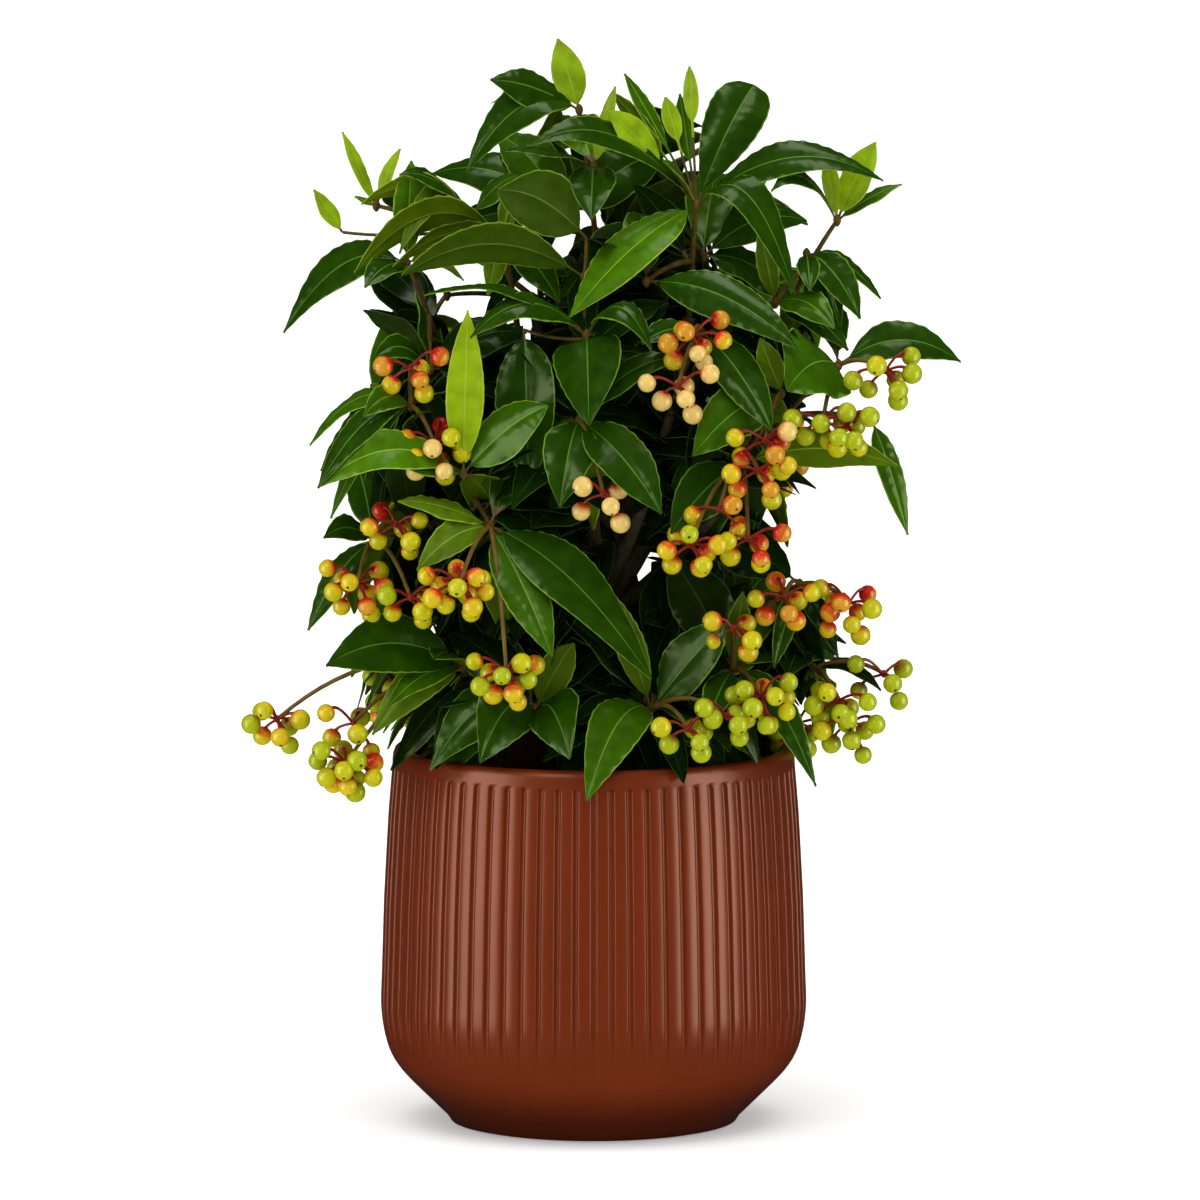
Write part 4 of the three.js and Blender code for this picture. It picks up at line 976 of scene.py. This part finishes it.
def ball(centre, way, radius, columns, rows):
    """The points of a fruit, in rings from its stalk, where it dips a little, to its far end."""
    helper = UP if abs(way @ UP) < 0.9 else np.array([1.0, 0, 0])
    across = unit(np.cross(way, helper))
    along = np.cross(way, across)
    polar = np.append(np.linspace(0.12, math.pi - 0.17, rows - 1), math.pi - 0.05)
    angle = round_angles(columns)
    ring = np.cos(angle)[:, None] * across + np.sin(angle)[:, None] * along
    reach = radius * np.sin(polar)
    depth = -radius * np.cos(polar) + 0.14 * radius * np.exp(-polar * 3)
    return (centre + reach[:, None, None] * ring[None] + depth[:, None, None] * way).reshape(-1, 3)


def add_bunch_stalk(stalks, hub, knot):
    """The bunch's bent stalk, and the knob that its fruit hang from."""
    share = np.linspace(0, 1, 14)
    centres = bow(hub, knot, BUNCH["bow"] * np.linalg.norm(hub - knot)).at(share)
    tube(stalks, centres, lerp(BUNCH["stalk"], BUNCH["foot"], share), 7, BUNCH["olive"])
    tube(stalks, hub + UP * np.linspace(1.6, -1.6, 5)[:, None], BUNCH["knob"], 8, BUNCH["red"])


def add_fruit(piles, stalks, hub, centre, mix, draw):
    """One fruit on its own stalk, with its bands of colour and the dot at its far end."""
    out = unit(centre - hub)
    way = unit(out + UP * -draw.uniform(*FRUIT["hangs"]))
    radius = FRUIT["radius"] * draw.uniform(*FRUIT["sizes"])
    start, end = hub + out * 0.6, centre - way * radius * 0.85
    stem = Bow(start, end - way * np.linalg.norm(end - start) * 0.3, end)
    spots = np.linspace(0, 1, 6)
    tube(stalks, stem.at(spots), FRUIT["stalk"] * (1 + 0.55 * spots**6), 6, BUNCH["red"])
    pile = piles[mix[int(draw.integers(len(mix)))]]
    columns, rows = FRUIT["grid"]
    blush = draw.uniform(*FRUIT["blush"])
    band = np.repeat(np.arange(rows - 1), columns)
    slots = np.where(band < rows - 2, np.minimum(4, (band * 0.5 / blush).astype(int)), FRUIT["dot"])
    points = ball(centre, way, radius, columns, rows)
    pile.add(points, grid_faces(rows, columns, wrapped=True), slots)
    last = np.arange(columns) + (rows - 1) * columns
    fan = np.stack([last, np.roll(last, -1), np.full(columns, rows * columns)], -1)
    pile.add(np.concatenate([points, [centre + way * radius]]), fan[:, ::-1], FRUIT["dot"])


def grow_fruit():
    """Every bunch, its fruit dealt out by ripeness, and all the stalks."""
    piles, stalks = {ripeness: Pile() for ripeness in RIPENESS}, Pile()
    for index, shoot in enumerate(SHOOTS):
        for k, bunch in enumerate(shoot["bunches"]):
            if shoot["behind"] and abs(bunch[0]) > along_table(HALF_WIDTHS, bunch[2]) - BACK_HUB["inside"]:
                continue
            hub, fruit = bunch_plan(bunch, SEED + 100 * index + k)
            add_bunch_stalk(stalks, hub, shoot["knot"])
            draw = np.random.default_rng(9000 + 10 * index + k)
            for centre in fruit:
                add_fruit(piles, stalks, hub, centre, MIXES[bunch[4]], draw)
    return piles, stalks


def bark_relief(rows, sides, seed, strength):
    """Shares of the radius: lengthwise ridges, fine grain and the rings of old leaf scars."""
    draw = np.random.default_rng(seed)
    angle = round_angles(sides)[None]
    place = np.linspace(0, 1, rows)[:, None]
    ridges = sum(
        np.sin(n * angle + draw.uniform(0, 6.3) + draw.uniform(1, 4) * place * n * 0.4) / n**0.5
        for n in (3, 5, 8)
    )
    scars = np.exp(-(((place * rows / 9) % 1 - 0.5) ** 2) / 0.012)
    return 1 + strength * (0.45 * ridges + 0.5 * scars + draw.normal(0, 0.3, (rows, sides)))


def limb(pile, curve, kind, thick, thin, seed, flare=0, flare_share=1):
    """A limb with its bark, which tapers from the curve's start to its end and flares at its start."""
    rows, sides, bark = LIMB_DETAIL[kind]
    share = np.linspace(0, 1, rows)
    radii = flare * np.maximum(0, 1 - share / flare_share) ** 2 + lerp(thick, thin, share)
    tube(pile, curve.at(share), radii, sides, 0, bark_relief(rows, sides, seed, bark))


def grow_wood():
    """The trunk with its boughs, and the twigs with the knots of their shoots and the fine sprigs."""
    wood, twigs = Pile(), Pile()
    flare = TRUNK["flare"] - TRUNK["base"]
    limb(wood, TRUNK_CURVE, "trunk", TRUNK["base"], TRUNK["end"], 1, flare, TRUNK["flare_share"])
    for number, (name, _, _, thick, thin) in enumerate(LIMBS):
        limb(wood, LIMB_CURVES[name], "bough", thick, thin, 10 + number)
    knot = UP * np.linspace(2.6, -2.6, len(KNOT))[:, None]
    for index, shoot in enumerate(SHOOTS):
        limb(twigs, shoot["twig"], "twig", TWIG["end"], TWIG["base"], 100 + index)
        tube(twigs, shoot["knot"] + knot, TWIG["knot"] * np.array(KNOT), 10)
    for shoot, share, foot, _ in SPRIGS:
        start = shoot["twig"].at(share)[0]
        tube(twigs, bow(start, foot, -1.5).at(np.linspace(0, 1, 9)), 0.7, 7)
    return wood, twigs


def add_rings(pile, profile, sides):
    """A plain round surface through rows of radius and height."""
    radius, level = np.array(profile, float).T[..., None]
    pile.add(turned(radius, round_angles(sides), level), grid_faces(len(profile), sides, wrapped=True))


def pot_wall():
    """The heights of the wall's rows of points, and its radius at each with the bends softened."""
    outside = np.array(POT_OUTSIDE, float)
    rows = [np.linspace(*row) for row in WALL_ROWS]
    heights = np.unique(np.concatenate([outside[:, 1], GROOVE["top"] - np.linspace(0, 2.4, 9), *rows]))
    edge, top = outside[2, 1], outside[-1, 1]
    close = np.linspace(-20, 180, 1601)
    profile = np.interp(close, outside[:, 1], outside[:, 0])
    soften = np.clip(np.minimum(heights - edge, top - heights) * 0.4, 0.1, 4.2)[:, None]
    weights = np.exp(-(((close - heights[:, None]) / soften) ** 2))
    sharp = np.interp(heights, outside[:, 1], outside[:, 0])
    return heights, np.where(heights < edge, sharp, weights @ profile / weights.sum(1))


def grooved(heights, wall):
    """The angle and the radius of every point of the grooved wall, row by row."""
    offset, share = np.array(GROOVE_SECTION).T
    low = np.clip((heights - GROOVE["foot"]) / (GROOVE["belly"] - GROOVE["foot"]), 0, 1)
    above = np.maximum(0, heights - (GROOVE["top"] - GROOVE["round"])) / GROOVE["round"]
    narrow = np.sqrt(np.clip(1 - above**2, 0, 1))
    depth = GROOVE["depth"] * low**0.8 * np.minimum(1, narrow * 1.6)
    between = (math.pi * wall / GROOVES)[:, None]
    offsets = np.concatenate([offset * np.maximum(narrow, 0.05)[:, None], between], 1)
    turn = np.arange(GROOVES) * 2 * math.pi / GROOVES
    angle = turn[None, :, None] + (offsets / wall[:, None])[:, None]
    radius = np.broadcast_to((wall[:, None] - depth[:, None] * np.append(share, 0))[:, None], angle.shape)
    return angle.reshape(len(wall), -1), radius.reshape(len(wall), -1)


def make_pot():
    """The wall with its grooves, which end rounded under the rim and run out below the belly."""
    pile = Pile()
    heights, wall = pot_wall()
    angle, radius = grooved(heights, wall)
    lip = np.array(POT_RIM, float)
    angle = np.concatenate([angle, np.repeat(angle[-1:], len(lip), 0)])
    radius = np.concatenate([radius, np.repeat(lip[:, :1], angle.shape[1], 1)])
    level = np.concatenate([heights, lip[:, 1]])[:, None]
    pile.add(turned(radius, angle, level), grid_faces(*angle.shape, wrapped=True))
    add_rings(pile, [(0, 0), (50, 0), POT_OUTSIDE[0]], 180)
    add_rings(pile, [POT_RIM[-1], *POT_INSIDE, (0, POT_INSIDE[-1][1])], 180)
    return pile


def make_mix():
    """The potting mix: an uneven surface that falls away under the rim, with crumbs on it."""
    pile = Pile()
    draw = np.random.default_rng(5)
    rings, sides = 36, 90
    radius = np.linspace(0.2, 78.2, rings)[:, None]
    angle = round_angles(sides)
    x, y = radius * np.cos(angle), radius * np.sin(angle)
    height = SOIL_LEVEL - 1 + 0.9 * np.sin(x / 7.1 + 1) * np.cos(y / 6.3) + 0.6 * np.sin(x / 2.9 + y / 3.7)
    height = height + draw.normal(0, 0.35, x.shape)
    pile.add(turned(radius, angle, height), grid_faces(rings, sides, wrapped=True))
    add_rings(pile, MIX_OUTSIDE, sides)
    columns, rows = CRUMB["grid"]
    quads = grid_faces(rows, columns, wrapped=True)
    for _ in range(CRUMB["count"]):
        spot = CRUMB["within"] * math.sqrt(draw.random())
        turn = draw.uniform(0, 6.283)
        size = draw.uniform(*CRUMB["sizes"])
        place = np.array([spot * math.cos(turn), spot * math.sin(turn), SOIL_LEVEL + 0.1])
        lump = ball(np.zeros(3), UP, size, columns, rows) * draw.uniform(*CRUMB["squash"], 3)
        pile.add(lump * draw.uniform(*CRUMB["rough"], (len(lump), 1)) + place, quads)
    return pile


def make_plant():
    for tone, pile in grow_leaves().items():
        pile.piece(f"leaves_{tone}", leaf_materials(tone), FOLIAGE_NODES, "foliage")
    piles, stalks = grow_fruit()
    dot = material("fruit_dot", (0.05, 0.03, 0.015), 0.6)
    for ripeness, pile in piles.items():
        bands = [
            material(
                f"fruit_{ripeness}_{i}", colour, 0.3, 0.25, coat=0.16, mottle=0.1, mottle_size=3, bump=0.05,
                tint=(1, 0.95, 0.6),
            )
            for i, colour in enumerate(RIPENESS[ripeness])
        ]
        pile.piece(f"fruit_{ripeness}", [*bands, dot], FOLIAGE_NODES, "foliage")
    red, olive = (0.20, 0.011, 0.004), (0.13, 0.080, 0.011)
    red = material("stalk_red", red, 0.42, 0.3, tint=(1, 0.6, 0.5), mottle=0.3, mottle_size=5)
    olive = material("stalk_olive", olive, 0.45, 0.2, tint=(1, 0.8, 0.5), mottle=0.3, mottle_size=6)
    stalks.piece("fruit_stalks", [red, olive], FOLIAGE_NODES, "foliage")
    wood, twigs = grow_wood()
    bark = material(
        "bark", (0.060, 0.045, 0.018), 0.75, 0.2, mottle=0.4, mottle_size=4, bump=0.6, bump_size=0.8,
    )
    young = material(
        "young_bark", (0.090, 0.058, 0.009), 0.6, 0.12, tint=(1, 0.8, 0.5), mottle=0.4, mottle_size=5,
        bump=0.4, bump_size=0.9,
    )
    wood.piece("trunk_and_boughs", [bark], WOOD_NODES, "bark")
    twigs.piece("twigs", [young], FOLIAGE_NODES, "bark")


def paint_foot_shade(made, low, high, share):
    """Painted shade: darken the glaze's colour towards the foot, where shade falls by the floor, between two
    heights in metres.
    """
    tree = made.node_tree
    shader = tree.nodes["Principled BSDF"]
    height = add_node(tree, "SeparateXYZ", {"Vector": place_in(tree)}).outputs["Z"]
    fade = add_node(tree, "MapRange", {
        "Value": height, "From Min": low, "From Max": high, "To Min": share, "To Max": 1,
    }, interpolation_type="SMOOTHSTEP")
    colour = shader.inputs["Base Color"].links[0].from_socket
    shade = add_node(tree, "VectorMath", {"Vector": colour}, operation="SCALE")
    plug(tree, shade, {"Scale": fade.outputs["Result"]})
    plug(tree, shader, {"Base Color": shade.outputs["Vector"]})


def make_vessel():
    glaze = material(
        "satin_glaze", (0.147, 0.0180, 0.0015), 0.3, 0.34, mottle=0.05, mottle_size=30,
        bump=0.03, bump_size=2.5, tint=(1, 0.7, 0.5),
    )
    # Painted shade: the glaze's colour darkens towards the foot, standing in for the shadow by the floor.
    paint_foot_shade(glaze, 0.006, 0.03, 0.45)
    earth = material(
        "potting_mix", (0.018, 0.011, 0.007), 0.95, mottle=0.6, mottle_size=3, bump=1.0, bump_size=1.0,
    )
    make_pot().piece("pot_shell", [glaze], ["pot"], "pot")
    make_mix().piece("mix_surface", [earth], ["potting_mix"], "potting_mix")


def softbox(name, place, size, glow):
    light = bpy.data.lights.new(name, "AREA")
    light.shape = "RECTANGLE"
    light.size, light.size_y = size
    light.energy = math.pi * size[0] * size[1] * glow
    lamp = add_object(name, light)
    lamp.location = place
    lamp.rotation_euler = look_along(point((0, 0, 0.2)) - point(place))
    lamp.visible_camera = lamp.visible_diffuse = False


def daylight(name, way, strength, angle):
    light = bpy.data.lights.new(name, "SUN")
    light.energy = strength
    light.angle = math.radians(angle)
    lamp = add_object(name, light)
    lamp.rotation_euler = look_along(point(way))
    lamp.visible_glossy = False


def look_along(way):
    """The rotation that points a camera's or lamp's -Z along the way, upright."""
    x, y, z = unit(way)
    return (math.acos(-z), 0, math.atan2(-x, y) if abs(z) < 0.9999 else 0)


def glowing(name, strength):
    """The studio's own white, which gives off a little light."""
    pale, tree, shader = new_material(name)
    plug(tree, shader, {
        "Base Color": (*STUDIO["white"], 1), "Roughness": 0.9,
        "Emission Color": (1, 1, 1, 1), "Emission Strength": strength,
    })
    return pale


def stage_mesh(name, points, faces, glow):
    mesh = bpy.data.meshes.new(name)
    mesh.from_pydata(points, [], faces)
    mesh.materials.append(glowing(f"pale_{name}", glow))
    made = add_object(name, mesh)
    made.visible_glossy = False
    return made


def make_studio():
    """A pale floor, a backdrop that only the camera sees, and the lights."""
    side = STUDIO["floor"]
    corners = [(-side, -side, 0), (side, -side, 0), (side, side, 0), (-side, side, 0)]
    stage_mesh("floor", corners, [(0, 1, 2, 3)], STUDIO["floor_glow"])
    sides, radius = STUDIO["wall_sides"], STUDIO["wall"]
    ring = [(radius * math.cos(a), radius * math.sin(a)) for a in round_angles(sides)]
    faces = [(i, (i + 1) % sides, sides + (i + 1) % sides, sides + i) for i in range(sides)]
    backdrop = stage_mesh("backdrop", [(x, y, z) for z in STUDIO["wall_ends"] for x, y in ring], faces, 1.0)
    backdrop.visible_diffuse = backdrop.visible_shadow = False
    world = bpy.data.worlds.new("studio")
    world.use_nodes = True
    tree = world.node_tree
    plug(tree, tree.nodes["Background"], {"Color": (1, 1, 1, 1), "Strength": STUDIO["world"]})
    bpy.context.scene.world = world
    for row in SOFTBOXES:
        softbox(*row)
    for row in DAYLIGHTS:
        daylight(*row)
    bpy.context.scene.view_settings.view_transform = "Standard"


def place_camera():
    lens = bpy.data.cameras.new("camera")
    lens.lens = CAMERA["lens"]
    lens.sensor_width = 36
    lens.clip_end = 60
    camera = add_object("camera", lens)
    camera.location = CAMERA["place"]
    camera.rotation_euler = look_along(point(CAMERA["aim"]) - point(CAMERA["place"]))
    bpy.context.scene.camera = camera


place_camera()
make_studio()
make_vessel()
make_plant()
